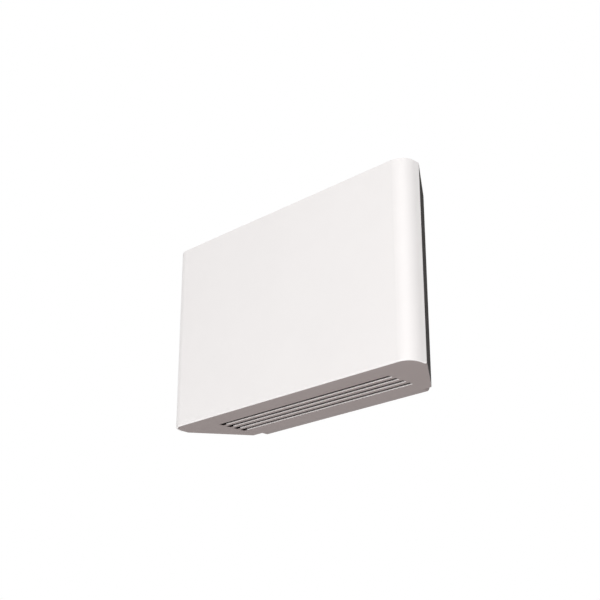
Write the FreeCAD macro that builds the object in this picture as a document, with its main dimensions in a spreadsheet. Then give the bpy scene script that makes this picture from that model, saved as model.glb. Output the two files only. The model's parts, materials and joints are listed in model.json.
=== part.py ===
import FreeCAD, Part

# Wall-mounted fan heater: a white front cover and a tapered dark housing on a wall bracket, with a
# cross-flow blower, a finned heating element and the controls inside.
# +X is to the right seen from the front, +Y points into the wall and +Z is up. The origin is the middle
# of the wall fixing holes, on the wall's face. Lengths are in millimetres.

import math
import os
import re

import Sketcher
from FreeCAD import Placement, Rotation, Vector

SIZES = {
    # Casing
    "casing_width": 440,
    "casing_height": 268,
    "casing_depth": 120,
    "cover_depth": 30,
    "cover_wall": 2.6,
    "cover_corner": 20,
    "cover_edge": 1.2,
    "cover_rib": 5,
    "cover_rib_wall": 1.6,
    "cover_rib_spacing": 90,
    "side_taper": 56,
    "back_corner": 3,
    "housing_wall": 2.6,
    "plate_thickness": 2.6,
    "plate_edge": 0.8,
    "fit_gap": 0.3,
    "shaft_clearance": 0.05,
    # Screws that hold the cover, in wells that open at the back
    "well_room": 64,
    "well_rise": 48,
    "well_wall": 1.8,
    "well_floor": 3,
    "screw_radius": 1.5,
    "screw_length": 16,
    "screw_head_radius": 3.2,
    "screw_head_height": 2.2,
    "screw_clearance": 0.2,
    # Snap tabs of the top and bottom plates
    "tab_width": 16,
    "tab_thickness": 1.8,
    "tab_height": 14,
    "tab_spacing": 110,
    "nib_depth": 1.4,
    "nib_height": 3,
    # Air outlet in the underside
    "outlet_side": 64,
    "slot_front_gap": 1.2,
    "slot_back_gap": 5.3,
    "slot_share": 0.625,
    "slot_count": 4,
    "slot_lip": 1.2,
    "ridge_width": 2.2,
    "end_relief": 6,
    "louvre_gap": 8,
    "louvre_clearance": 0.5,
    "louvre_lift": 0.4,
    "louvre_height": 12,
    "louvre_lean": 3,
    "louvre_thickness": 1.6,
    "louvre_web_height": 4,
    "louvre_web_count": 5,
    "louvre_web_inset": 15,
    # Air intake and dust filter in the top
    "filter_left_room": 56,
    "filter_right_room": 132,
    "filter_front_room": 33,
    "filter_back_room": 25,
    "filter_height": 8,
    "filter_border": 5,
    "filter_skin": 2,
    "filter_slot_rows": 5,
    "filter_slot_bays": 4,
    "filter_bar": 3,
    "filter_pad_thickness": 4,
    "intake_wall": 2,
    "intake_ledge": 4,
    "guard_thickness": 2,
    "guard_bar": 2.4,
    "guard_rows": 3,
    "guard_columns": 5,
    # Wall bracket
    "bracket_depth": 12,
    "bracket_side": 13,
    "bracket_drop": 38,
    "bracket_lift": 1,
    "bracket_sheet": 1.5,
    "bracket_corner": 4,
    "bead_radius": 9,
    "bead_sink": 5.5,
    "bead_length": 210,
    "bead_spacing": 60,
    "fixing_spacing_x": 220,
    "fixing_spacing_z": 120,
    "fixing_radius": 3.2,
    "hook_spacing": 180,
    "hook_width": 14,
    "hook_thickness": 3,
    "hook_reach": 8,
    "hook_drop": 4,
    "hook_clearance": 0.5,
    "lock_lug_width": 18,
    "lock_screw_length": 14,
    # Supply inlet
    "inlet_x": -95,
    "inlet_rise": 39,
    "inlet_radius": 4.2,
    "grommet_radius": 7,
    "grommet_flange_radius": 9.5,
    "grommet_flange": 1.6,
    "inlet_window_radius": 14,
    "terminal_width": 38,
    "terminal_depth": 14,
    "terminal_height": 20,
    "terminal_rise": 35,
    "terminal_ways": 3,
    "terminal_pitch": 11,
    "terminal_wire_radius": 2.2,
    # Blower
    "sheet": 1.2,
    "blower_left_room": 74,
    "blower_right_room": 80,
    "axis_rise": 129,
    "blower_head": 12,
    "blower_nose": 10,
    "blower_chamfer": 16,
    "duct_front": 34,
    "scroll_gap": 5,
    "scroll_clearance": 2.2,
    "scroll_start": 60,
    "tongue_drop": 34,
    "tongue_radius": 4,
    "tongue_lip": 5,
    "foot_boss": 7,
    "foot_boss_radius": 4.5,
    "foot_width": 9,
    "foot_tab": 16,
    "foot_upper_rise": 20,
    "foot_lower_drop": 65,
    "foot_screw_length": 7,
    # Impeller
    "impeller_radius": 30,
    "impeller_gap": 6,
    "impeller_disc": 2,
    "blade_root": 24,
    "blade_count": 28,
    "blade_sweep": 12,
    "blade_curve": 8,
    "blade_thickness": 0.9,
    "hub_radius": 8,
    "hub_length": 14,
    "shaft_radius": 3,
    "shaft_grip": 12,
    "idler_length": 22,
    "bush_radius": 6,
    "bush_length": 9,
    "mount_radius": 11,
    "mount_flange": 13.5,
    "mount_flange_width": 2.4,
    # Motor
    "motor_standoff": 8.8,
    "core_width": 46,
    "core_height": 60,
    "core_top": 19,
    "core_stack": 18,
    "rotor_radius": 12.4,
    "air_gap": 0.5,
    "core_leg": 12,
    "core_window_width": 27,
    "core_window_height": 12,
    "coil_wall": 7,
    "coil_play": 0.5,
    "bridge_thickness": 3,
    "bridge_height": 10,
    "bridge_boss_radius": 7,
    "bridge_boss_length": 7,
    "bridge_rise": 6,
    "motor_screw_spacing": 38,
    # Heating element
    "element_rise": 37,
    "rod_radius": 4,
    "rod_spacing": 23,
    "bend_gap": 3,
    "rod_tail": 12,
    "fin_gap": 5,
    "fin_height": 24,
    "fin_thickness": 0.8,
    "fin_count": 34,
    "fin_inset": 20,
    "fin_end_gap": 16,
    "insulator_wall": 2.6,
    "insulator_flange": 2,
    "insulator_length": 8,
    "support_height": 18,
    "support_foot": 8,
    "support_inset": 6,
    "cutout_rise": 26,
    "cutout_radius": 8,
    "cutout_height": 7,
    "cutout_flange_width": 24,
    "cutout_flange_height": 10,
    "cutout_flange": 1,
    "cutout_blade": 6,
    # Controls on the top
    "thermostat_room": 108,
    "timer_room": 70,
    "switch_room": 40,
    "knob_radius": 15,
    "knob_height": 13,
    "knob_edge": 1.5,
    "knob_lift": 0.8,
    "knob_rest_angle": 135,
    "knob_grip_depth": 9,
    "knob_flutes": 18,
    "flute_radius": 2,
    "pointer_width": 1.4,
    "pointer_length": 9,
    "pointer_depth": 0.8,
    "timer_skirt": 5,
    "timer_bar": 8,
    "spindle_radius": 3,
    "spindle_seat": 10,
    "thermostat_width": 34,
    "thermostat_length": 30,
    "thermostat_height": 20,
    "timer_radius": 18,
    "timer_height": 18,
    "timer_plate": 1.6,
    "timer_plate_size": 40,
    "switch_width": 12,
    "switch_length": 17,
    "switch_wall": 0.8,
    "switch_height": 17,
    "switch_bezel": 1.6,
    "switch_rim": 2,
    "switch_well": 8,
    "rocker_gap": 0.3,
    "rocker_crown": 2.2,
    "rocker_valley": 1.2,
    "rocker_drop": 4,
    "rocker_tilt": 7,
    "rocker_pin_radius": 1.2,
    "rocker_sink": 0.4,
    "lens_radius": 3.2,
    "lens_flange": 4.4,
    "lens_flange_height": 1,
    "lens_offset": 20,
    "lens_stem": 8,
}

doc = FreeCAD.newDocument("wall_fan_heater")
sheet = doc.addObject("Spreadsheet::Sheet", "Sizes")
for row, (alias, number) in enumerate(SIZES.items(), 1):
    sheet.set(f"A{row}", alias)
    sheet.set(f"B{row}", str(number))
    sheet.setAlias(f"B{row}", alias)
doc.recompute()


def cell(text):
    """Write an expression in plain size names as one that points at the sheet's cells."""
    return re.sub(r"[a-z_]+", lambda word: f"Sizes.{word[0]}" if word[0] in SIZES else word[0], str(text))


def number_of(text):
    """Work out an expression in plain size names."""
    return float(sheet.evalExpression(cell(text)))


# Planes and lines that several pieces share

HALF_WIDTH = "(casing_width / 2)"
FRONT = "(-casing_depth)"
FRONT_INSIDE = "(cover_wall - casing_depth)"
SEAM = "(cover_depth - casing_depth)"
BACK = "(-bracket_depth)"
BACK_INSIDE = "(-bracket_depth - housing_wall)"
TOP = "(casing_height / 2)"
TOP_INSIDE = "(casing_height / 2 - plate_thickness)"
BOTTOM = "(-casing_height / 2)"
BOTTOM_INSIDE = "(plate_thickness - casing_height / 2)"
WALL_HEIGHT = "(casing_height - 2 * plate_thickness)"
BACK_HALF = f"({HALF_WIDTH} - side_taper)"
TAPER = "(side_taper / (casing_depth - cover_depth - bracket_depth))"
SIDE_WALL = f"(housing_wall * sqrt(1 + {TAPER} ^ 2))"
TERMINAL_FRONT = f"({BACK_INSIDE} - terminal_depth)"
AXIS_Y = f"({TERMINAL_FRONT} - scroll_clearance - sheet - scroll_gap - impeller_radius)"
AXIS_Z = f"({BOTTOM} + axis_rise)"
LEFT_SHEET = f"(blower_left_room - {HALF_WIDTH})"
RIGHT_SHEET = f"({HALF_WIDTH} - blower_right_room)"
SPAN = f"({RIGHT_SHEET} - {LEFT_SHEET})"
FOOT = f"({BACK_INSIDE} - foot_boss)"
DUCT_FRONT = "(duct_front - casing_depth)"
DUCT_BACK = f"({AXIS_Y} + impeller_radius + scroll_gap)"
DUCT_BOTTOM = f"({BOTTOM_INSIDE} + fit_gap)"
LOUVRE_TOP = f"({DUCT_BOTTOM} + louvre_height)"
DUCT_DEPTH = f"({DUCT_BACK} - {DUCT_FRONT})"
SLOT_START = f"({DUCT_FRONT} + slot_front_gap)"
SLOT_PITCH = f"(({DUCT_DEPTH} - slot_front_gap - slot_back_gap) / (slot_count - 1 + slot_share))"
SLOT_WIDTH = f"(slot_share * {SLOT_PITCH})"
SLOT_RUN = f"({SLOT_PITCH} * (slot_count - 1))"
OUTLET_HALF = f"({HALF_WIDTH} - outlet_side)"
FILTER_LEFT = f"(filter_left_room - {HALF_WIDTH})"
FILTER_LENGTH = "(casing_width - filter_left_room - filter_right_room)"
FILTER_FRONT = f"({FRONT} + filter_front_room)"
FILTER_WIDTH = f"({BACK} - filter_back_room - {FILTER_FRONT})"
CONTROL_Y = f"({FILTER_FRONT} + {FILTER_WIDTH} / 2)"
THERMOSTAT_X = f"({HALF_WIDTH} - thermostat_room)"
TIMER_X = f"({HALF_WIDTH} - timer_room)"
SWITCH_X = f"({HALF_WIDTH} - switch_room)"
BRACKET_HALF = f"({BACK_HALF} - bracket_side)"
BRACKET_TOP = f"({TOP} - bracket_drop)"
INLET_Z = f"({BOTTOM} + inlet_rise)"
ELEMENT_Y = f"({DUCT_FRONT} + {DUCT_DEPTH} / 2)"
ELEMENT_Z = f"({BOTTOM} + element_rise)"
PIN_HOLE = "(screw_radius + screw_clearance)"
SHAFT_BORE = "(shaft_radius + shaft_clearance)"
ROD_BORE = "(rod_radius + shaft_clearance)"

TURNED_TO = {
    "X": Rotation(Vector(0, 1, 0), 90),
    "Y": Rotation(Vector(1, 0, 0), -90),
    "Z": Rotation(),
}
PLANE_OF = {"XY": "XY_Plane", "YZ": "YZ_Plane", "XZ": "XZ_Plane"}

parts = []


def piece(node, thing):
    """Name a finished sub-part and put it on the list of what is written out."""
    thing.Label = node
    parts.append(thing)
    return thing


def put(thing, x="0", y="0", z="0"):
    """Place a thing at a point given by expressions, keeping the way it is turned."""
    for axis, text in zip("xyz", (x, y, z)):
        thing.setExpression(f"Placement.Base.{axis}", cell(text))
    return thing


def spun(thing, axis, angle):
    """Turn a thing about an axis through its own origin by an angle given by an expression."""
    thing.Placement = Placement(Vector(), Rotation(axis, number_of(angle)))
    thing.setExpression("Placement.Rotation.Angle", cell(angle))
    return thing


def block(name, size, corner):
    """A box from its three lengths and its lowest corner."""
    box = doc.addObject("Part::Box", name)
    for side, text in zip(("Length", "Width", "Height"), size):
        box.setExpression(side, cell(text))
    return put(box, *corner)


def rod(name, radius, length, start, axis="Z"):
    """A round bar that runs from its start along +X, +Y or +Z."""
    bar = doc.addObject("Part::Cylinder", name)
    bar.setExpression("Radius", cell(radius))
    bar.setExpression("Height", cell(length))
    bar.Placement = Placement(Vector(), TURNED_TO[axis])
    return put(bar, *start)


def joined(name, *pieces):
    """Several pieces moulded or welded as one solid."""
    whole = doc.addObject("Part::MultiFuse", name)
    whole.Shapes = list(pieces)
    whole.Refine = True
    return whole


def carved(name, base, *tools):
    """A piece with holes or hollows taken out of it."""
    result = doc.addObject("Part::Cut", name)
    result.Base = base
    result.Tool = tools[0] if len(tools) == 1 else joined(f"{name}_tools", *tools)
    result.Refine = True
    return result


def group(name, *pieces):
    """Separate like solids, kept together."""
    together = doc.addObject("Part::Compound", name)
    together.Links = list(pieces)
    return together


def body(name):
    """An empty body for sketched features."""
    return doc.addObject("PartDesign::Body", name)


def origin_feature(owner, role):
    """One of a body's own base planes or axes."""
    return next(feature for feature in owner.Origin.OriginFeatures if feature.Role == role)


def empty_sketch(owner, name, plane, level):
    """A sketch on one of the body's base planes, moved to a level along that plane's axis."""
    drawing = owner.newObject("Sketcher::SketchObject", name)
    drawing.AttachmentSupport = (origin_feature(owner, PLANE_OF[plane]), "")
    drawing.MapMode = "FlatFace"
    drawing.setExpression("AttachmentOffset.Base.z", cell(f"-({level})" if plane == "XZ" else level))
    return drawing


def pin_to(drawing, geometry, point, across, up):
    """Fix a sketch point at distances from the sketch's origin."""
    for kind, text in (("DistanceX", across), ("DistanceY", up)):
        rule = Sketcher.Constraint(kind, -1, 1, geometry, point, number_of(text))
        drawing.setExpression(f"Constraints[{drawing.addConstraint(rule)}]", cell(text))


def outline(owner, name, plane, corners, level="0", arcs=None):
    """A closed outline through corners given by expressions.

    arcs holds, for a side that is round, its radius and the way it turns, left or right.
    """
    drawing = empty_sketch(owner, name, plane, level)
    arcs = arcs or {}
    places = [Vector(number_of(across), number_of(up), 0) for across, up in corners]
    ends = []
    for side, start in enumerate(places):
        finish = places[(side + 1) % len(places)]
        if side not in arcs:
            drawing.addGeometry(Part.LineSegment(start, finish), False)
            ends.append((1, 2))
            continue
        radius_text, turn = arcs[side]
        radius = number_of(radius_text)
        chord = finish - start
        to_left = Vector(-chord.y, chord.x, 0).normalize()
        rise = math.sqrt(max(radius ** 2 - chord.Length ** 2 / 4, 0))
        middle = (start + finish) * 0.5
        centre = middle + to_left * (rise if turn == "left" else -rise)
        first, last = (start, finish) if turn == "left" else (finish, start)
        angles = [math.atan2(point.y - centre.y, point.x - centre.x) for point in (first, last)]
        circle = Part.Circle(centre, Vector(0, 0, 1), radius)
        drawing.addGeometry(Part.ArcOfCircle(circle, *angles), False)
        ends.append((1, 2) if turn == "left" else (2, 1))
    for side in range(len(places)):
        following = (side + 1) % len(places)
        drawing.addConstraint(
            Sketcher.Constraint("Coincident", side, ends[side][1], following, ends[following][0])
        )
    for side, (across, up) in enumerate(corners):
        pin_to(drawing, side, ends[side][0], across, up)
    for side, (radius_text, _) in arcs.items():
        rule = Sketcher.Constraint("Radius", side, number_of(radius_text))
        drawing.setExpression(f"Constraints[{drawing.addConstraint(rule)}]", cell(radius_text))
    doc.recompute()
    return drawing


def circles(owner, name, plane, centres, radius, level="0"):
    """Round outlines of one radius about centres given by expressions."""
    drawing = empty_sketch(owner, name, plane, level)
    for ring, (across, up) in enumerate(centres):
        centre = Vector(number_of(across), number_of(up), 0)
        drawing.addGeometry(Part.Circle(centre, Vector(0, 0, 1), number_of(radius)), False)
        pin_to(drawing, ring, 3, across, up)
        rule = Sketcher.Constraint("Radius", ring, number_of(radius))
        drawing.setExpression(f"Constraints[{drawing.addConstraint(rule)}]", cell(radius))
    doc.recompute()
    return drawing


def rectangle(low, high):
    """The corners of an upright rectangle, for an outline."""
    return [low, (high[0], low[1]), high, (low[0], high[1])]


def pad(owner, drawing, length):
    """Material added from a sketch along its plane's normal."""
    feature = owner.newObject("PartDesign::Pad", f"{drawing.Name}_pad")
    feature.Profile = drawing
    feature.setExpression("Length", cell(length))
    doc.recompute()
    return feature


def pocket(owner, drawing, depth, along_normal=False):
    """Material cut from a sketch, against its plane's normal unless told otherwise."""
    before = owner.Shape.Volume
    feature = owner.newObject("PartDesign::Pocket", f"{drawing.Name}_pocket")
    feature.Profile = drawing
    feature.Reversed = along_normal
    feature.setExpression("Length", cell(depth))
    doc.recompute()
    if feature.Shape.Volume > before - 1e-6:
        raise RuntimeError(f"{feature.Name} cuts nothing")
    return feature


def rounded(owner, radius, wanted):
    """Round the edges that a test on an edge picks out."""
    base = owner.Tip
    names = [f"Edge{count}" for count, edge in enumerate(base.Shape.Edges, 1) if wanted(edge)]
    feature = owner.newObject("PartDesign::Fillet", f"{owner.Name}_round")
    feature.Base = (base, names)
    feature.setExpression("Radius", cell(radius))
    doc.recompute()
    return feature


def repeated(owner, feature, axis, length, count):
    """Copies of a feature in a row along one of the body's axes."""
    pattern = owner.newObject("PartDesign::LinearPattern", f"{feature.Name}_row")
    pattern.Originals = [feature]
    pattern.Direction = (origin_feature(owner, f"{axis}_Axis"), [""])
    pattern.setExpression("Length", cell(length))
    pattern.setExpression("Occurrences", cell(count))
    owner.Tip = pattern
    doc.recompute()
    return pattern


def turned(owner, feature, axis, count):
    """Copies of a feature all round one of the body's axes."""
    pattern = owner.newObject("PartDesign::PolarPattern", f"{feature.Name}_ring")
    pattern.Originals = [feature]
    pattern.Axis = (origin_feature(owner, f"{axis}_Axis"), [""])
    pattern.Angle = 360
    pattern.setExpression("Occurrences", cell(count))
    owner.Tip = pattern
    doc.recompute()
    return pattern


def lies_at(edge, axis, place):
    """True for an edge that lies wholly at one level along an axis."""
    low, high = getattr(edge.BoundBox, f"{axis}Min"), getattr(edge.BoundBox, f"{axis}Max")
    return abs(low - place) < 1e-4 and abs(high - place) < 1e-4


def is_upright(edge):
    """True for a straight edge that runs along Z."""
    return edge.BoundBox.XLength < 1e-4 and edge.BoundBox.YLength < 1e-4


SIGNS = ((-1, -1), (-1, 1), (1, -1), (1, 1))
WELLS = [(f"({sx} * ({HALF_WIDTH} - well_room))", f"({sz} * ({TOP} - well_rise))") for sx, sz in SIGNS]
FOOT_UPPER = f"({AXIS_Z} + foot_upper_rise)"
FOOT_LOWER = f"({AXIS_Z} - foot_lower_drop)"
FEET = [
    (f"({LEFT_SHEET} - sheet - foot_width / 2)", FOOT_UPPER),
    (f"({LEFT_SHEET} - sheet - foot_width / 2)", FOOT_LOWER),
    (f"({RIGHT_SHEET} + sheet + foot_width / 2)", FOOT_UPPER),
    (f"({RIGHT_SHEET} + sheet + foot_width / 2)", FOOT_LOWER),
]
TABS = [f"({step} * tab_spacing)" for step in (-1, 0, 1)]
HOOKS = [f"({sign} * hook_spacing / 2)" for sign in (-1, 1)]
LOCK_Y = f"({BACK} + hook_reach / 2)"
NIB_RISE = "(tab_height - 2 * nib_height)"


# Front cover: one white moulded shell with a flat front, rounded upright corners and short side returns.
# Bosses for the screws and two stiffening ribs stand on the inside of the front wall.

def make_front_cover():
    shell = body("cover_shell")
    inner = f"({HALF_WIDTH} - cover_wall)"
    round_x = f"({HALF_WIDTH} - cover_corner)"
    round_y = f"({FRONT} + cover_corner)"
    inner_round = ("cover_corner - cover_wall", "right")
    section = outline(
        shell,
        "cover_section",
        "XY",
        [
            (f"-{HALF_WIDTH}", SEAM),
            (f"-{HALF_WIDTH}", round_y),
            (f"-{round_x}", FRONT),
            (round_x, FRONT),
            (HALF_WIDTH, round_y),
            (HALF_WIDTH, SEAM),
            (inner, SEAM),
            (inner, round_y),
            (round_x, FRONT_INSIDE),
            (f"-{round_x}", FRONT_INSIDE),
            (f"-{inner}", round_y),
            (f"-{inner}", SEAM),
        ],
        BOTTOM,
        {1: ("cover_corner", "left"), 3: ("cover_corner", "left"), 7: inner_round, 9: inner_round},
    )
    pad(shell, section, "casing_height")
    top, seam = number_of(TOP), number_of(SEAM)
    outer = number_of(f"{HALF_WIDTH} - cover_wall / 2")
    front = number_of(f"{FRONT} + cover_wall / 2")

    def is_outer_rim(edge):
        box = edge.BoundBox
        at_end = lies_at(edge, "Z", top) or lies_at(edge, "Z", -top)
        outside = max(abs(box.XMin), abs(box.XMax)) > outer or box.YMin < front
        return at_end and outside and not lies_at(edge, "Y", seam)

    rounded(shell, "cover_edge", is_outer_rim)
    boss_length = f"({SEAM} - {FRONT_INSIDE} + cover_wall / 2)"
    boss_start = f"({FRONT_INSIDE} - cover_wall / 2)"
    boss_radius = f"({PIN_HOLE} + well_wall)"
    bosses = [rod("cover_boss", boss_radius, boss_length, (x, boss_start, z), "Y") for x, z in WELLS]
    ribs = [
        block(
            "cover_stiffener",
            (f"2 * {round_x}", "cover_rib + cover_wall / 2", "cover_rib_wall"),
            (f"-{round_x}", boss_start, f"{sign} * cover_rib_spacing / 2 - cover_rib_wall / 2"),
        )
        for sign in (-1, 1)
    ]
    pilots = [
        rod("cover_pilot", PIN_HOLE, "screw_length", (x, f"{SEAM} - screw_length", z), "Y")
        for x, z in WELLS
    ]
    piece("front_cover", carved("cover", joined("cover_solid", shell, *bosses, *ribs), *pilots))


# Rear housing: dark moulded back shell whose sides taper towards the wall. It carries the screw wells,
# the bosses for the blower's feet, two hooks and a lug for the wall bracket, and the inlet for the cable.

def make_rear_housing():
    shell = body("housing_shell")
    inside_front = f"({HALF_WIDTH} - {SIDE_WALL})"
    inside_back = f"({BACK_HALF} + housing_wall * {TAPER} - {SIDE_WALL})"
    section = outline(
        shell,
        "housing_section",
        "XY",
        [
            (f"-{HALF_WIDTH}", SEAM),
            (f"-{inside_front}", SEAM),
            (f"-{inside_back}", BACK_INSIDE),
            (inside_back, BACK_INSIDE),
            (inside_front, SEAM),
            (HALF_WIDTH, SEAM),
            (BACK_HALF, BACK),
            (f"-{BACK_HALF}", BACK),
        ],
        BOTTOM_INSIDE,
    )
    pad(shell, section, WALL_HEIGHT)
    back = number_of(BACK)
    rounded(shell, "back_corner", lambda edge: is_upright(edge) and lies_at(edge, "Y", back))

    well_radius = "(screw_head_radius + screw_clearance + well_wall)"
    middle = f"({BACK} - housing_wall / 2)"
    wells = [rod("well", well_radius, f"{middle} - {SEAM}", (x, SEAM, z), "Y") for x, z in WELLS]
    bosses = [
        rod("foot_boss", "foot_boss_radius", "foot_boss + housing_wall / 2", (x, FOOT, z), "Y")
        for x, z in FEET
    ]
    arms = []
    for x in HOOKS:
        arms.append(block(
            "hook_arm",
            ("hook_width", "hook_reach + housing_wall / 2", "hook_thickness"),
            (f"{x} - hook_width / 2", middle, BRACKET_TOP),
        ))
        arms.append(block(
            "hook_lip",
            ("hook_width", "hook_thickness", "hook_drop + hook_thickness"),
            (
                f"{x} - hook_width / 2",
                f"{BACK} + hook_reach - hook_thickness",
                f"{BRACKET_TOP} - hook_drop",
            ),
        ))
    lug = block(
        "lock_lug",
        ("lock_lug_width", "hook_reach + housing_wall / 2", "hook_thickness"),
        ("-lock_lug_width / 2", middle, BRACKET_TOP),
    )
    solid = joined("housing_solid", shell, *wells, *bosses, *arms, lug)

    cuts = []
    well_bore = "(screw_head_radius + screw_clearance)"
    floor = f"({SEAM} + well_floor)"
    for x, z in WELLS:
        cuts.append(rod("well_bore", well_bore, f"{BACK} - {floor} + housing_wall", (x, floor, z), "Y"))
        cuts.append(rod("well_hole", PIN_HOLE, "3 * well_floor", (x, f"{SEAM} - well_floor", z), "Y"))
    for x, z in FEET:
        cuts.append(rod("foot_pilot", PIN_HOLE, "foot_boss", (x, FOOT, z), "Y"))
    lock_start = ("0", LOCK_Y, f"{BRACKET_TOP} - hook_thickness")
    cuts.append(rod("lock_hole", PIN_HOLE, "3 * hook_thickness", lock_start))
    cuts.append(rod(
        "inlet_hole",
        "grommet_radius",
        "3 * housing_wall",
        ("inlet_x", f"{BACK_INSIDE} - housing_wall", INLET_Z),
        "Y",
    ))
    window_height = "(nib_height + 2 * fit_gap)"
    lower_window = f"({BOTTOM_INSIDE} + {NIB_RISE} - fit_gap)"
    upper_window = f"({TOP_INSIDE} - {NIB_RISE} - nib_height - fit_gap)"
    for x in TABS:
        for low in (lower_window, upper_window):
            cuts.append(block(
                "snap_window",
                ("tab_width + 2 * fit_gap", "3 * housing_wall", window_height),
                (f"{x} - tab_width / 2 - fit_gap", f"{BACK_INSIDE} - housing_wall", low),
            ))
    piece("rear_housing", carved("housing", solid, *cuts))


# Top and bottom plates share one outline: inside the cover's walls at the front, then out to the
# housing's tapered sides. Three snap tabs hold each plate to the housing's back wall.

def plate_body(name, level):
    plate = body(name)
    inset = "(cover_wall + fit_gap)"
    side = f"({HALF_WIDTH} - {inset})"
    round_x = f"({HALF_WIDTH} - cover_corner)"
    round_y = f"({FRONT} + cover_corner)"
    corner = (f"cover_corner - {inset}", "left")
    drawing = outline(
        plate,
        f"{name}_outline",
        "XY",
        [
            (f"-{round_x}", f"{FRONT} + {inset}"),
            (round_x, f"{FRONT} + {inset}"),
            (side, round_y),
            (side, SEAM),
            (HALF_WIDTH, SEAM),
            (BACK_HALF, BACK),
            (f"-{BACK_HALF}", BACK),
            (f"-{HALF_WIDTH}", SEAM),
            (f"-{side}", SEAM),
            (f"-{side}", round_y),
        ],
        level,
        {1: corner, 9: corner},
    )
    pad(plate, drawing, "plate_thickness")
    back = number_of(BACK)
    rounded(plate, "back_corner", lambda edge: is_upright(edge) and lies_at(edge, "Y", back))
    return plate


def snap_tabs(low, nib_low):
    """The tabs of one plate, from the lowest height of a tab and of its nib."""
    tab_back = f"({BACK_INSIDE} - fit_gap)"
    pieces = []
    for x in TABS:
        left = f"{x} - tab_width / 2"
        pieces.append(block(
            "snap_tab",
            ("tab_width", "tab_thickness", "tab_height + plate_thickness / 2"),
            (left, f"{tab_back} - tab_thickness", low),
        ))
        pieces.append(block(
            "snap_nib",
            ("tab_width", "nib_depth + fit_gap + tab_thickness", "nib_height"),
            (left, f"{tab_back} - tab_thickness", nib_low),
        ))
    return pieces


# Outlet plate: grey underside with four long slots. Their lips are thin, softly rounded and flare inward, so
# that each bar between two slots narrows to a ridge. The plate is thinner around the slots' ends.

def make_outlet_plate():
    plate = plate_body("underside", BOTTOM)
    lip_top = f"({BOTTOM} + slot_lip)"
    slot_back = f"({SLOT_START} + {SLOT_WIDTH})"
    flare = f"(({SLOT_PITCH} - {SLOT_WIDTH} - ridge_width) / 2)"
    slot = outline(
        plate,
        "outlet_slot",
        "YZ",
        [
            (SLOT_START, BOTTOM),
            (slot_back, BOTTOM),
            (slot_back, lip_top),
            (f"{slot_back} + {flare}", BOTTOM_INSIDE),
            (f"{SLOT_START} - {flare}", BOTTOM_INSIDE),
            (SLOT_START, lip_top),
        ],
        f"-{OUTLET_HALF}",
    )
    first = pocket(plate, slot, f"2 * {OUTLET_HALF}", along_normal=True)
    repeated(plate, first, "Y", SLOT_RUN, "slot_count")
    relief = outline(
        plate,
        "end_relief",
        "XY",
        rectangle(
            (f"-{OUTLET_HALF} - end_relief", f"{SLOT_START} - {flare}"),
            (f"-{OUTLET_HALF} + end_relief", f"{slot_back} + {SLOT_RUN} + {flare}"),
        ),
        BOTTOM_INSIDE,
    )
    first_relief = pocket(plate, relief, "plate_thickness - slot_lip")
    repeated(plate, first_relief, "X", f"2 * {OUTLET_HALF}", "2")
    bottom = number_of(BOTTOM)
    rounded(plate, "plate_edge", lambda edge: lies_at(edge, "Z", bottom))
    tabs = snap_tabs(f"{BOTTOM_INSIDE} - plate_thickness / 2", f"{BOTTOM_INSIDE} + {NIB_RISE}")
    piece("outlet_plate", joined("outlet", plate, *tabs))


# Outlet louvre: leaning vanes that hang down into the outlet slots from cross webs, which lie on the ridges
# of the bars between the slots. The vanes reach the slots' right ends and stop short of the left ones.

def make_outlet_louvre():
    vanes = body("louvre")
    foot = f"({SLOT_START} + {SLOT_WIDTH} - louvre_clearance - louvre_thickness)"
    low = f"({BOTTOM} + louvre_lift)"
    head = f"({BOTTOM_INSIDE} + louvre_height)"
    half = f"({OUTLET_HALF} - louvre_gap)"
    vane = outline(
        vanes,
        "vane",
        "YZ",
        [
            (foot, low),
            (f"{foot} + louvre_thickness", low),
            (f"{foot} + louvre_thickness + louvre_lean", head),
            (f"{foot} + louvre_lean", head),
        ],
        f"-{half}",
    )
    first_vane = pad(vanes, vane, f"{half} + {OUTLET_HALF} - louvre_clearance")
    web = outline(
        vanes,
        "web",
        "YZ",
        rectangle(
            (f"{foot} + louvre_thickness", BOTTOM_INSIDE),
            (f"{foot} + louvre_thickness + {SLOT_RUN}", f"{BOTTOM_INSIDE} + louvre_web_height"),
        ),
        f"louvre_web_inset - {half}",
    )
    first_web = pad(vanes, web, "louvre_thickness")
    web_run = f"2 * ({half} - louvre_web_inset) - louvre_thickness"
    repeated(vanes, first_web, "X", web_run, "louvre_web_count")
    repeated(vanes, first_vane, "Y", SLOT_RUN, "slot_count")
    piece("outlet_louvre", vanes)


# Top plate: intake recess with a ledge and guard bars for the lift-out filter, and seats for the controls.

LEDGE_TOP = f"({TOP} - filter_height)"
LEDGE_LOW = f"({LEDGE_TOP} - guard_thickness)"


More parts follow.
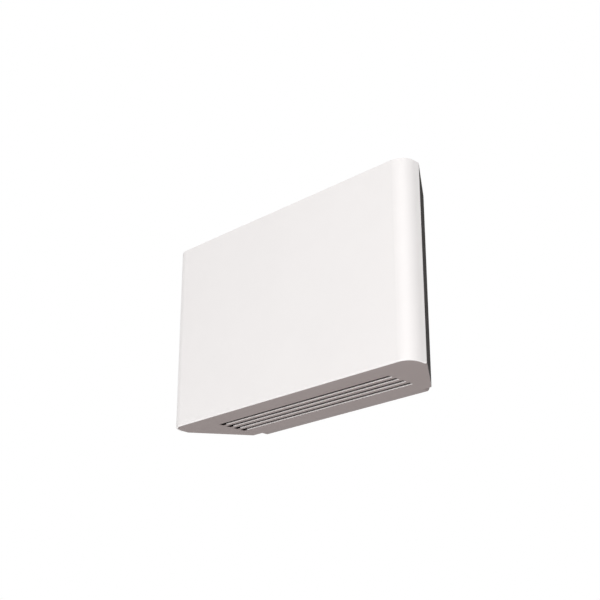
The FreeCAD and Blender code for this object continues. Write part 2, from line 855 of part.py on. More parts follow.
def make_top_plate():
    plate = plate_body("topside", TOP_INSIDE)
    top = number_of(TOP)
    rounded(plate, "plate_edge", lambda edge: lies_at(edge, "Z", top))
    left = f"({FILTER_LEFT} - fit_gap)"
    front = f"({FILTER_FRONT} - fit_gap)"
    length = f"({FILTER_LENGTH} + 2 * fit_gap)"
    width = f"({FILTER_WIDTH} + 2 * fit_gap)"
    collar = block(
        "intake_collar",
        (
            f"{length} + 2 * intake_wall",
            f"{width} + 2 * intake_wall",
            f"{TOP} - {LEDGE_LOW} - plate_thickness / 2",
        ),
        (f"{left} - intake_wall", f"{front} - intake_wall", LEDGE_LOW),
    )
    tabs = snap_tabs(f"{TOP_INSIDE} - tab_height", f"{TOP_INSIDE} - {NIB_RISE} - nib_height")
    solid = joined("topside_solid", plate, collar, *tabs)

    mouth = block("intake_mouth", (length, width, "2 * filter_height"), (left, front, LEDGE_TOP))
    throat_length = f"({length} - 2 * intake_ledge)"
    throat_width = f"({width} - 2 * intake_ledge)"
    throat_left = f"({left} + intake_ledge)"
    throat_front = f"({front} + intake_ledge)"
    throat = block(
        "intake_throat",
        (throat_length, throat_width, "3 * guard_thickness"),
        (throat_left, throat_front, f"{LEDGE_LOW} - guard_thickness"),
    )
    below = f"({TOP_INSIDE} - plate_thickness)"
    through = "3 * plate_thickness"
    spindle_hole = "(spindle_radius + fit_gap)"
    holes = [
        rod("spindle_hole", spindle_hole, through, (x, CONTROL_Y, below))
        for x in (THERMOSTAT_X, TIMER_X)
    ]
    lens_y = f"{CONTROL_Y} - lens_offset"
    holes.append(rod("lens_hole", "lens_radius + fit_gap", through, (SWITCH_X, lens_y, below)))
    switch_width = "(switch_width + 2 * switch_wall + 2 * fit_gap)"
    switch_length = "(switch_length + 2 * switch_wall + 2 * fit_gap)"
    holes.append(block(
        "switch_hole",
        (switch_width, switch_length, through),
        (f"{SWITCH_X} - {switch_width} / 2", f"{CONTROL_Y} - {switch_length} / 2", below),
    ))
    opened = carved("topside_open", solid, mouth, throat, *holes)

    bars = []
    row_step = f"(({throat_width} - guard_rows * guard_bar) / (guard_rows + 1))"
    for row in range(1, int(number_of("guard_rows")) + 1):
        bars.append(block(
            "guard_row",
            (f"{length} + intake_wall", "guard_bar", "guard_thickness"),
            (
                f"{left} - intake_wall / 2",
                f"{throat_front} + {row} * {row_step} + {row - 1} * guard_bar",
                LEDGE_LOW,
            ),
        ))
    column_step = f"(({throat_length} - guard_columns * guard_bar) / (guard_columns + 1))"
    for column in range(1, int(number_of("guard_columns")) + 1):
        bars.append(block(
            "guard_column",
            ("guard_bar", f"{width} + intake_wall", "guard_thickness"),
            (
                f"{throat_left} + {column} * {column_step} + {column - 1} * guard_bar",
                f"{front} - intake_wall / 2",
                LEDGE_LOW,
            ),
        ))
    piece("top_plate", joined("topside_whole", opened, *bars))


# Dust filter: a frame with slotted top that drops into the intake recess, and a foam pad under its bars.

def make_filter():
    frame = block(
        "filter_block",
        (FILTER_LENGTH, FILTER_WIDTH, "filter_height"),
        (FILTER_LEFT, FILTER_FRONT, LEDGE_TOP),
    )
    inner_length = f"({FILTER_LENGTH} - 2 * filter_border)"
    inner_width = f"({FILTER_WIDTH} - 2 * filter_border)"
    inner_left = f"({FILTER_LEFT} + filter_border)"
    inner_front = f"({FILTER_FRONT} + filter_border)"
    skin = f"({TOP} - filter_skin)"
    hollow_height = "(filter_height - filter_skin)"
    hollow = block(
        "filter_hollow",
        (inner_length, inner_width, f"{hollow_height} + filter_skin / 2"),
        (inner_left, inner_front, f"{LEDGE_TOP} - filter_skin / 2"),
    )
    slot_length = f"(({inner_length} - (filter_slot_bays - 1) * filter_bar) / filter_slot_bays)"
    slot_width = f"(({inner_width} - (filter_slot_rows - 1) * filter_bar) / filter_slot_rows)"
    slots = [
        block(
            "filter_slot",
            (slot_length, slot_width, "2 * filter_skin"),
            (
                f"{inner_left} + {bay} * ({slot_length} + filter_bar)",
                f"{inner_front} + {line} * ({slot_width} + filter_bar)",
                f"{skin} - filter_skin / 2",
            ),
        )
        for bay in range(int(number_of("filter_slot_bays")))
        for line in range(int(number_of("filter_slot_rows")))
    ]
    piece("filter_frame", carved("filter_cut", frame, hollow, *slots))
    pad_size = (f"{inner_length} - 2 * fit_gap", f"{inner_width} - 2 * fit_gap", "filter_pad_thickness")
    pad_corner = (f"{inner_left} + fit_gap", f"{inner_front} + fit_gap", f"{skin} - filter_pad_thickness")
    piece("filter_pad", block("filter_foam", pad_size, pad_corner))


# Wall bracket: folded steel pan, open to the front, with two pressed beads, screwed to the wall. The
# housing's hooks drop through slots in its top flange, and the lock screw goes down through that flange.

def bead(radius, z):
    """A round-ended bar along the bracket, mostly behind the wall's face."""
    half = "(bead_length / 2)"
    bar = rod("bead_bar", radius, "bead_length", (f"-{half}", "bead_sink", z), "X")
    ends = []
    for x in (f"-{half}", half):
        end = doc.addObject("Part::Sphere", "bead_end")
        end.setExpression("Radius", cell(radius))
        ends.append(put(end, x, "bead_sink", z))
    return joined("bead", bar, *ends)


def make_wall_bracket():
    pan = body("pan")
    low = f"({BOTTOM} + bracket_lift)"
    pan_corners = rectangle((f"-{BRACKET_HALF}", low), (BRACKET_HALF, BRACKET_TOP))
    face = outline(pan, "pan_face", "XZ", pan_corners)
    pad(pan, face, "bracket_depth")

    def is_corner(edge):
        return edge.BoundBox.XLength < 1e-4 and edge.BoundBox.ZLength < 1e-4

    rounded(pan, "bracket_corner", is_corner)
    inner_half = f"({BRACKET_HALF} - bracket_sheet)"
    hollow = body("pan_hollow")
    hollow_face = outline(
        hollow,
        "hollow_face",
        "XZ",
        rectangle(
            (f"-{inner_half}", f"{low} + bracket_sheet"),
            (inner_half, f"{BRACKET_TOP} - bracket_sheet"),
        ),
        "-bracket_sheet",
    )
    pad(hollow, hollow_face, "bracket_depth")
    rounded(hollow, "bracket_corner - bracket_sheet", is_corner)

    bead_heights = [f"({sign} * bead_spacing / 2)" for sign in (-1, 1)]
    raised = [bead("bead_radius", z) for z in bead_heights]
    beaded = joined("pan_beaded", carved("pan_shell", pan, hollow), *raised)
    cuts = [bead("bead_radius - bracket_sheet", z) for z in bead_heights]
    cuts.append(block(
        "wall_side",
        (f"2 * {BRACKET_HALF}", "bead_sink + bead_radius", "bead_spacing + 2 * bead_radius"),
        (f"-{BRACKET_HALF}", "0", "-bead_spacing / 2 - bead_radius"),
    ))
    for sx, sz in SIGNS:
        start = (f"{sx} * fixing_spacing_x / 2", "-2 * bracket_sheet", f"{sz} * fixing_spacing_z / 2")
        cuts.append(rod("fixing_hole", "fixing_radius", "3 * bracket_sheet", start, "Y"))
    window = ("inlet_x", "-2 * bracket_sheet", INLET_Z)
    cuts.append(rod("inlet_window", "inlet_window_radius", "3 * bracket_sheet", window, "Y"))
    flange = f"({BRACKET_TOP} - 2 * bracket_sheet)"
    for x in HOOKS:
        cuts.append(block(
            "hook_slot",
            ("hook_width + 2 * hook_clearance", "hook_thickness + 2 * hook_clearance", "3 * bracket_sheet"),
            (
                f"{x} - hook_width / 2 - hook_clearance",
                f"{BACK} + hook_reach - hook_thickness - hook_clearance",
                flange,
            ),
        ))
    cuts.append(rod("lock_thread", PIN_HOLE, "3 * bracket_sheet", ("0", LOCK_Y, flange)))
    piece("wall_bracket", carved("bracket", beaded, *cuts))


# Screws: a round head and a plain shank. Each kind is one group of separate solids.

def screw(length, head_at, axis, direction):
    """A screw from the underside of its head, pointing along or against an axis."""
    step = {"X": 0, "Y": 1, "Z": 2}[axis]
    shank_start, head_start = list(head_at), list(head_at)
    overlap = "screw_head_height / 2"
    if direction > 0:
        shank_start[step] = f"{head_at[step]} - {overlap}"
        head_start[step] = f"{head_at[step]} - screw_head_height"
    else:
        shank_start[step] = f"{head_at[step]} - ({length})"
    shank = rod("shank", "screw_radius", f"{length} + {overlap}", shank_start, axis)
    head = rod("head", "screw_head_radius", "screw_head_height", head_start, axis)
    return joined("screw", shank, head)


def make_screws():
    floor = f"({SEAM} + well_floor)"
    cover_screws = [screw("screw_length", (x, floor, z), "Y", -1) for x, z in WELLS]
    piece("cover_screws", group("cover_set", *cover_screws))
    foot_face = f"({FOOT} - sheet)"
    foot_screws = [screw("foot_screw_length", (x, foot_face, z), "Y", 1) for x, z in FEET]
    piece("blower_screws", group("foot_set", *foot_screws))
    lock_head = ("0", LOCK_Y, f"{BRACKET_TOP} + hook_thickness")
    piece("lock_screw", screw("lock_screw_length", lock_head, "Z", -1))
    head_x = f"({CORE_END} + bridge_rise + bridge_thickness)"
    reach = f"({head_x} - {RIGHT_SHEET})"
    long_screws = [screw(reach, (head_x, y, AXIS_Z), "X", -1) for y in MOTOR_SCREWS]
    piece("motor_screws", group("motor_set", *long_screws))


# Blower casing: two steel end plates on feet, a scroll wall behind the wheel and a cut-off wall with a
# bent lip in front of it. The walls run from plate to plate and down to the outlet.

MOTOR_SCREWS = [f"({AXIS_Y} + {sign} * motor_screw_spacing / 2)" for sign in (-1, 1)]
CORE_START = f"({RIGHT_SHEET} + motor_standoff)"
CORE_END = f"({CORE_START} + core_stack)"
RODS = [f"({ELEMENT_Y} + {sign} * rod_spacing / 2)" for sign in (-1, 1)]


def end_sheet(name, level):
    plate = body(name)
    nose = f"({DUCT_FRONT} - blower_nose)"
    head = f"({AXIS_Z} + impeller_radius + blower_head)"
    face = outline(
        plate,
        f"{name}_face",
        "YZ",
        [
            (nose, LOUVRE_TOP),
            (FOOT, LOUVRE_TOP),
            (FOOT, f"{head} - blower_chamfer"),
            (f"{FOOT} - blower_chamfer", head),
            (f"{nose} + blower_chamfer", head),
            (nose, f"{head} - blower_chamfer"),
        ],
        level,
    )
    pad(plate, face, "sheet")
    return plate


def foot_tabs(inner):
    """The bent feet of one end plate, from the X at which they start."""
    size = ("foot_width + sheet", "sheet", "foot_tab")
    return [
        block("foot", size, (inner, f"{FOOT} - sheet", f"{z} - foot_tab / 2"))
        for z in (FOOT_UPPER, FOOT_LOWER)
    ]


def foot_holes(side):
    return [rod("foot_hole", PIN_HOLE, "3 * sheet", (x, f"{FOOT} - 2 * sheet", z), "Y") for x, z in side]


def make_blower_casing():
    left = end_sheet("left_sheet", f"{LEFT_SHEET} - sheet")
    left_start = f"({LEFT_SHEET} - 2 * sheet)"
    bearing_hole = rod("mount_hole", "mount_radius", "3 * sheet", (left_start, AXIS_Y, AXIS_Z), "X")
    left_feet = foot_tabs(f"{LEFT_SHEET} - sheet - foot_width")
    left_solid = joined("left_end", left, *left_feet)
    piece("blower_end_left", carved("left_cut", left_solid, bearing_hole, *foot_holes(FEET[:2])))

    right = end_sheet("right_sheet", RIGHT_SHEET)
    right_solid = joined("right_end", right, *foot_tabs(RIGHT_SHEET))
    start = f"({RIGHT_SHEET} - sheet)"
    holes = [rod("shaft_hole", "bridge_boss_radius + fit_gap", "3 * sheet", (start, AXIS_Y, AXIS_Z), "X")]
    holes += [rod("motor_hole", PIN_HOLE, "3 * sheet", (start, y, AXIS_Z), "X") for y in MOTOR_SCREWS]
    rod_hole = f"({ROD_BORE} + insulator_wall + fit_gap)"
    holes += [rod("element_hole", rod_hole, "3 * sheet", (start, y, ELEMENT_Z), "X") for y in RODS]
    piece("blower_end_right", carved("right_cut", right_solid, *holes, *foot_holes(FEET[2:])))

    scroll = body("scroll")
    inner = "(impeller_radius + scroll_gap)"
    outer = f"({inner} + sheet)"
    section = outline(
        scroll,
        "scroll_section",
        "YZ",
        [
            (f"{AXIS_Y} + {inner} * cos(scroll_start)", f"{AXIS_Z} + {inner} * sin(scroll_start)"),
            (DUCT_BACK, AXIS_Z),
            (DUCT_BACK, DUCT_BOTTOM),
            (f"{DUCT_BACK} + sheet", DUCT_BOTTOM),
            (f"{DUCT_BACK} + sheet", AXIS_Z),
            (f"{AXIS_Y} + {outer} * cos(scroll_start)", f"{AXIS_Z} + {outer} * sin(scroll_start)"),
        ],
        LEFT_SHEET,
        {0: (inner, "right"), 4: (outer, "left")},
    )
    pad(scroll, section, SPAN)
    piece("scroll_wall", scroll)

    cutoff = body("cutoff")
    bend = f"({AXIS_Z} - tongue_drop - tongue_radius)"
    lip_y = f"({DUCT_FRONT} - tongue_radius)"
    section = outline(
        cutoff,
        "cutoff_section",
        "YZ",
        [
            (DUCT_FRONT, DUCT_BOTTOM),
            (DUCT_FRONT, bend),
            (lip_y, f"{bend} + tongue_radius"),
            (f"{lip_y} - tongue_lip", f"{bend} + tongue_radius"),
            (f"{lip_y} - tongue_lip", f"{bend} + tongue_radius - sheet"),
            (lip_y, f"{bend} + tongue_radius - sheet"),
            (f"{DUCT_FRONT} - sheet", bend),
            (f"{DUCT_FRONT} - sheet", DUCT_BOTTOM),
        ],
        LEFT_SHEET,
        {1: ("tongue_radius", "left"), 5: ("tongue_radius - sheet", "right")},
    )
    pad(cutoff, section, SPAN)
    piece("cutoff_wall", cutoff)


# Impeller: cross-flow wheel with curved blades between discs, made about its own axis. A hub at each end
# takes the motor shaft and the idler shaft, which turns in a bush held by a rubber mount.

IMPELLER_START = f"({LEFT_SHEET} + impeller_gap)"
IMPELLER_END = f"({RIGHT_SHEET} - impeller_gap)"
IMPELLER_LENGTH = f"({IMPELLER_END} - {IMPELLER_START})"


def make_impeller():
    wheel = body("wheel")
    centre = [("0", "0")]
    pad(wheel, circles(wheel, "left_disc", "YZ", centre, "impeller_radius"), "impeller_disc")
    root_step = "(blade_thickness / blade_root * 180 / pi)"
    tip_step = "(blade_thickness / impeller_radius * 180 / pi)"
    tip = "(impeller_radius - impeller_disc / 4)"
    blade = outline(
        wheel,
        "blade",
        "YZ",
        [
            ("blade_root", "0"),
            (f"{tip} * cos(blade_sweep)", f"{tip} * sin(blade_sweep)"),
            (f"{tip} * cos(blade_sweep + {tip_step})", f"{tip} * sin(blade_sweep + {tip_step})"),
            (f"blade_root * cos({root_step})", f"blade_root * sin({root_step})"),
        ],
        "0",
        {0: ("blade_curve", "left"), 2: ("blade_curve", "right")},
    )
    first = pad(wheel, blade, IMPELLER_LENGTH)
    turned(wheel, first, "X", "blade_count")
    for name, level in (
        ("middle_disc", f"{IMPELLER_LENGTH} / 2 - impeller_disc / 2"),
        ("right_disc", f"{IMPELLER_LENGTH} - impeller_disc"),
    ):
        pad(wheel, circles(wheel, name, "YZ", centre, "impeller_radius", level), "impeller_disc")
    for name, level in (("left_hub", "0"), ("right_hub", f"{IMPELLER_LENGTH} - hub_length")):
        pad(wheel, circles(wheel, name, "YZ", centre, "hub_radius", level), "hub_length")
    for name, level in (("left_bore", "0"), ("right_bore", f"{IMPELLER_LENGTH} - hub_length")):
        bore = circles(wheel, name, "YZ", centre, SHAFT_BORE, level)
        pocket(wheel, bore, "hub_length", along_normal=True)
    piece("impeller", put(wheel, IMPELLER_START, AXIS_Y, AXIS_Z))

    idler_start = f"({IMPELLER_START} + shaft_grip - idler_length - impeller_gap)"
    shaft = rod("idler", "shaft_radius", "idler_length + impeller_gap", (idler_start, AXIS_Y, AXIS_Z), "X")
    piece("idler_shaft", shaft)

    middle = f"({LEFT_SHEET} - sheet / 2)"
    bush_start = f"({middle} - bush_length / 2)"
    bush = rod("bush", "bush_radius", "bush_length", (bush_start, AXIS_Y, AXIS_Z), "X")
    bush_bore = rod("bush_bore", SHAFT_BORE, "bush_length", (bush_start, AXIS_Y, AXIS_Z), "X")
    piece("idler_bush", carved("bush_ring", bush, bush_bore))

    neck_radius = "(mount_radius - shaft_clearance)"
    mount_start = f"({middle} - sheet / 2 - mount_flange_width)"
    mount_length = "(sheet + 2 * mount_flange_width)"
    at_axis = (mount_start, AXIS_Y, AXIS_Z)
    neck = rod("mount_neck", neck_radius, mount_length, at_axis, "X")
    flanges = [
        rod("mount_rim", "mount_flange", "mount_flange_width", (x, AXIS_Y, AXIS_Z), "X")
        for x in (mount_start, LEFT_SHEET)
    ]
    seat = rod("mount_seat", "bush_radius + shaft_clearance", mount_length, at_axis, "X")
    piece("idler_mount", carved("mount_ring", joined("mount_solid", neck, *flanges), seat))


# Motor: a shaded-pole motor on the right end plate. The laminated core has the rotor's bore above and a
# coil on its bottom leg, and two bridges carry the shaft.

def make_motor():
    core = body("core")
    half = "(core_width / 2)"
    low = "(core_top - core_height)"
    face = outline(core, "core_face", "YZ", rectangle((f"-{half}", low), (half, "core_top")))
    pad(core, face, "core_stack")
    bore = circles(core, "rotor_bore", "YZ", [("0", "0")], "rotor_radius + air_gap")
    pocket(core, bore, "core_stack", along_normal=True)
    window = outline(
        core,
        "coil_window",
        "YZ",
        rectangle(
            ("-core_window_width / 2", f"{low} + core_leg"),
            ("core_window_width / 2", f"{low} + core_leg + core_window_height"),
        ),
    )
    pocket(core, window, "core_stack", along_normal=True)
    sides = [(f"({sign} * motor_screw_spacing / 2)", "0") for sign in (-1, 1)]
    pocket(core, circles(core, "core_hole", "YZ", sides, PIN_HOLE), "core_stack", along_normal=True)
    piece("motor_core", put(core, CORE_START, AXIS_Y, AXIS_Z))

    leg_low = f"({AXIS_Z} + {low})"
    coil_width = "(core_window_width - 2 * coil_play)"
    coil_left = f"({AXIS_Y} - {coil_width} / 2)"
    winding_height = "(core_leg + coil_wall + core_window_height - coil_play)"
    winding = block(
        "winding",
        ("core_stack + 2 * coil_wall", coil_width, winding_height),
        (f"{CORE_START} - coil_wall", coil_left, f"{leg_low} - coil_wall"),
    )
    leg = block(
        "coil_leg",
        ("core_stack + 2 * shaft_clearance", f"2 * {coil_width}", "core_leg + 2 * shaft_clearance"),
        (f"{CORE_START} - shaft_clearance", f"{AXIS_Y} - {coil_width}", f"{leg_low} - shaft_clearance"),
    )
    piece("motor_coil", carved("coil", winding, leg))

    core_axis = (CORE_START, AXIS_Y, AXIS_Z)
    cage = rod("cage", "rotor_radius", "core_stack", core_axis, "X")
    cage_bore = rod("cage_bore", SHAFT_BORE, "core_stack", core_axis, "X")
    piece("motor_rotor", carved("rotor", cage, cage_bore))
    outer_end = f"({CORE_END} + bridge_rise + bridge_thickness)"
    shaft_start = f"({IMPELLER_END} - shaft_grip)"
    shaft_length = f"({outer_end} + bridge_thickness - {shaft_start})"
    piece("motor_shaft", rod("shaft", "shaft_radius", shaft_length, (shaft_start, AXIS_Y, AXIS_Z), "X"))

    inner_face = f"({RIGHT_SHEET} + sheet)"
    make_bridge("motor_bridge_inner", inner_face, inner_face, f"{CORE_START} - {inner_face}", inner_face)
    bar_start = f"({CORE_END} + bridge_rise)"
    boss_start = f"({outer_end} - bridge_boss_length)"
    make_bridge("motor_bridge_outer", bar_start, CORE_END, f"{outer_end} - {CORE_END}", boss_start)


def make_bridge(node, bar_start, leg_start, leg_length, boss_start):
    """A cast bridge: a bar across the core, a leg at each screw and a boss that carries the shaft."""
    bar_low = f"({AXIS_Z} - bridge_height / 2)"
    front = f"({AXIS_Y} - core_width / 2)"
    bar_size = ("bridge_thickness", "core_width", "bridge_height")
    bar = block("bridge_bar", bar_size, (bar_start, front, bar_low))
    leg_width = "(core_width - motor_screw_spacing)"
    leg_size = (leg_length, leg_width, "bridge_height")
    legs = [
        block("bridge_leg", leg_size, (leg_start, f"{y} - {leg_width} / 2", bar_low))
        for y in MOTOR_SCREWS
    ]
    boss_axis = (boss_start, AXIS_Y, AXIS_Z)
    boss = rod("bridge_boss", "bridge_boss_radius", "bridge_boss_length", boss_axis, "X")
    solid = joined("bridge", bar, *legs, boss)
    through = f"({leg_length} + 2 * bridge_thickness)"
    ahead = f"({leg_start} - bridge_thickness)"
    holes = [rod("bridge_hole", PIN_HOLE, through, (ahead, y, AXIS_Z), "X") for y in MOTOR_SCREWS]
    holes.append(rod("bridge_bore", SHAFT_BORE, through, (ahead, AXIS_Y, AXIS_Z), "X"))
    piece(node, carved("bridge_cut", solid, *holes))


# Heating element: a hairpin rod with pressed-on fins, made about the middle of its two legs. Ceramic
# bushes hold its tails in the right end plate and a sheet support holds it at the bend.

def make_element():
    hairpin = body("hairpin")
    bend_x = f"({LEFT_SHEET} + bend_gap + rod_spacing / 2 + rod_radius)"
    first_fin = f"({bend_x} + fin_inset)"
    fin_run = f"({RIGHT_SHEET} - fin_end_gap - fin_thickness - {first_fin})"
    fin_half = f"({DUCT_DEPTH} / 2 - fin_gap)"
    fin = outline(
        hairpin,
        "fin",
        "YZ",
        rectangle((f"-{fin_half}", "-fin_height / 2"), (fin_half, "fin_height / 2")),
        first_fin,
    )
    fin_pad = pad(hairpin, fin, "fin_thickness")
    legs = [(f"({sign} * rod_spacing / 2)", "0") for sign in (-1, 1)]
    rod_length = f"({RIGHT_SHEET} + sheet + rod_tail - {bend_x})"
    pad(hairpin, circles(hairpin, "hairpin_legs", "YZ", legs, "rod_radius", bend_x), rod_length)
    repeated(hairpin, fin_pad, "X", fin_run, "fin_count")
    put(hairpin, "0", ELEMENT_Y, ELEMENT_Z)
    bend = doc.addObject("Part::Torus", "hairpin_bend")
    bend.setExpression("Radius1", cell("rod_spacing / 2"))
    bend.setExpression("Radius2", cell("rod_radius"))
    bend.Angle3 = 180
    bend.Placement = Placement(Vector(), Rotation(Vector(0, 0, 1), 90))
    put(bend, bend_x, ELEMENT_Y, ELEMENT_Z)
    piece("heating_element", joined("element", hairpin, bend))

    bushes = []
    neck = f"({ROD_BORE} + insulator_wall)"
    flange_x = f"({RIGHT_SHEET} + sheet)"
    for y in RODS:
        neck_start = (f"{flange_x} - insulator_length / 2", y, ELEMENT_Z)
        collar = rod("insulator_neck", neck, "insulator_length", neck_start, "X")
        rim_start = (flange_x, y, ELEMENT_Z)
        rim = rod("insulator_rim", f"{neck} + insulator_flange", "insulator_flange", rim_start, "X")
        bore_start = (f"{flange_x} - insulator_length", y, ELEMENT_Z)
        bore = rod("insulator_bore", ROD_BORE, "3 * insulator_length", bore_start, "X")
        bushes.append(carved("insulator", joined("insulator_solid", collar, rim), bore))
    piece("element_insulators", group("insulator_set", *bushes))

    support_x = f"({bend_x} + support_inset)"
    support_low = f"({ELEMENT_Z} - support_height / 2)"
    web_size = ("sheet", f"{DUCT_BACK} - {DUCT_FRONT}", "support_height")
    web = block("support_web", web_size, (support_x, DUCT_FRONT, support_low))
    flanges = [
        block("support_foot", ("support_foot", "sheet", "support_height"), (support_x, y, support_low))
        for y in (DUCT_FRONT, f"{DUCT_BACK} - sheet")
    ]
    holes = [
        rod("support_hole", ROD_BORE, "3 * sheet", (f"{support_x} - sheet", y, ELEMENT_Z), "X")
        for y in RODS
    ]
    piece("element_support", carved("support", joined("support_solid", web, *flanges), *holes))

    cutout_z = f"({ELEMENT_Z} + cutout_rise)"
    face = f"({RIGHT_SHEET} + sheet)"
    can = rod("cutout_can", "cutout_radius", "cutout_height", (face, AXIS_Y, cutout_z), "X")
    ears = block(
        "cutout_ears",
        ("cutout_flange", "cutout_flange_width", "cutout_flange_height"),
        (face, f"{AXIS_Y} - cutout_flange_width / 2", f"{cutout_z} - cutout_flange_height / 2"),
    )
    blades = [
        block(
            "cutout_blade",
            ("cutout_height + cutout_blade", "cutout_flange", "cutout_blade"),
            (
                face,
                f"{AXIS_Y} + {sign} * cutout_radius / 2 - cutout_flange / 2",
                f"{cutout_z} - cutout_blade / 2",
            ),
        )
        for sign in (-1, 1)
    ]
    piece("thermal_cutout", joined("cutout", can, ears, *blades))


# Supply: terminal block on the back wall and a rubber grommet in the inlet hole.

def make_supply():
    low = f"({INLET_Z} + terminal_rise - terminal_height / 2)"
    left = "(inlet_x - terminal_width / 2)"
    base_size = ("terminal_width", "terminal_depth", "terminal_height")
    base = block("terminal_base", base_size, (left, TERMINAL_FRONT, low))
    holes = []
    middle = int(number_of("terminal_ways")) // 2
    for way in range(int(number_of("terminal_ways"))):
        x = f"(inlet_x + {way - middle} * terminal_pitch)"
        wire_y = f"({TERMINAL_FRONT} + terminal_depth / 2)"
        entry = (x, wire_y, f"{low} - terminal_height / 2")
        holes.append(rod("wire_hole", "terminal_wire_radius", "2 * terminal_height", entry))
        driver = (x, f"{TERMINAL_FRONT} - terminal_depth / 2", f"{low} + terminal_height / 2")
        holes.append(rod("driver_hole", "terminal_wire_radius", "terminal_depth", driver, "Y"))
    piece("terminal_block", carved("terminal", base, *holes))

    start = f"({BACK_INSIDE} - grommet_flange)"
    length = "(housing_wall + 2 * grommet_flange)"
    at_inlet = ("inlet_x", start, INLET_Z)
    neck = rod("grommet_neck", "grommet_radius - shaft_clearance", length, at_inlet, "Y")
    rims = [
        rod("grommet_rim", "grommet_flange_radius", "grommet_flange", ("inlet_x", y, INLET_Z), "Y")
        for y in (start, BACK)
    ]
    bore = rod("grommet_bore", "inlet_radius", length, at_inlet, "Y")
    piece("cable_grommet", carved("grommet", joined("grommet_solid", neck, *rims), bore))


# Controls: thermostat and timer under the top plate with their spindles and knobs, a rocker switch that
# snaps into the plate, and a lamp lens beside it. The knobs are made about their own axes.

KNOB_Z = f"({TOP} + knob_lift)"
SPINDLE_LOW = f"({TOP_INSIDE} - spindle_seat)"
SPINDLE_LENGTH = f"({KNOB_Z} + knob_grip_depth - {SPINDLE_LOW})"
SPINDLE_BORE = "(spindle_radius + shaft_clearance)"


def finish_knob(node, knob, height, x):
    """Cut a knob's pointer line and its bore, and stand it on its spindle."""
    line = outline(
        knob,
        "pointer",
        "XY",
        rectangle(
            ("-pointer_width / 2", "knob_radius - knob_edge - pointer_length"),
            ("pointer_width / 2", "knob_radius - knob_edge"),
        ),
        height,
    )
    pocket(knob, line, "pointer_depth")
    bore = circles(knob, "knob_bore", "XY", [("0", "0")], SPINDLE_BORE)
    pocket(knob, bore, "knob_grip_depth", along_normal=True)
    spun(knob, Vector(0, 0, 1), "knob_rest_angle")
    piece(node, put(knob, x, CONTROL_Y, KNOB_Z))


def make_thermostat():
    knob = body("dial")
    pad(knob, circles(knob, "dial_round", "XY", [("0", "0")], "knob_radius"), "knob_height")
    height = number_of("knob_height")
    rounded(knob, "knob_edge", lambda edge: lies_at(edge, "Z", height))
    flute_centre = [("0", "knob_radius + flute_radius / 2")]
    flute = circles(knob, "flute", "XY", flute_centre, "flute_radius", "knob_height")
    cut = pocket(knob, flute, "knob_height")
    turned(knob, cut, "Z", "knob_flutes")
    finish_knob("thermostat_knob", knob, "knob_height", THERMOSTAT_X)

    axis_start = (THERMOSTAT_X, CONTROL_Y, SPINDLE_LOW)
    piece("thermostat_spindle", rod("dial_spindle", "spindle_radius", SPINDLE_LENGTH, axis_start))
    case = block(
        "thermostat_case",
        ("thermostat_width", "thermostat_length", "thermostat_height"),
        (
            f"{THERMOSTAT_X} - thermostat_width / 2",
            f"{CONTROL_Y} - thermostat_length / 2",
            f"{TOP_INSIDE} - thermostat_height",
        ),
    )
    seat = rod("thermostat_seat", SPINDLE_BORE, "2 * spindle_seat", axis_start)
    piece("thermostat_body", carved("thermostat", case, seat))


def make_timer():
    knob = body("timer_dial")
    pad(knob, circles(knob, "timer_round", "XY", [("0", "0")], "knob_radius"), "timer_skirt")
    grip = outline(
        knob,
        "timer_grip",
        "XY",
        rectangle(
            ("-timer_bar / 2", "knob_edge - knob_radius"),
            ("timer_bar / 2", "knob_radius - knob_edge"),
        ),
    )
    pad(knob, grip, "knob_height")
    height = number_of("knob_height")
    rounded(knob, "knob_edge", lambda edge: lies_at(edge, "Z", height))
    finish_knob("timer_knob", knob, "knob_height", TIMER_X)

    axis_start = (TIMER_X, CONTROL_Y, SPINDLE_LOW)
    piece("timer_spindle", rod("timer_pin", "spindle_radius", SPINDLE_LENGTH, axis_start))
    can_start = (TIMER_X, CONTROL_Y, f"{TOP_INSIDE} - timer_height")
    can = rod("timer_can", "timer_radius", "timer_height", can_start)
    flange = block(
        "timer_flange",
        ("timer_plate_size", "timer_plate_size", "timer_plate"),
        (
            f"{TIMER_X} - timer_plate_size / 2",
            f"{CONTROL_Y} - timer_plate_size / 2",
            f"{TOP_INSIDE} - timer_plate",
        ),
    )
    seat = rod("timer_seat", SPINDLE_BORE, "2 * spindle_seat", axis_start)
    piece("timer_body", carved("timer", joined("timer_solid", can, flange), seat))


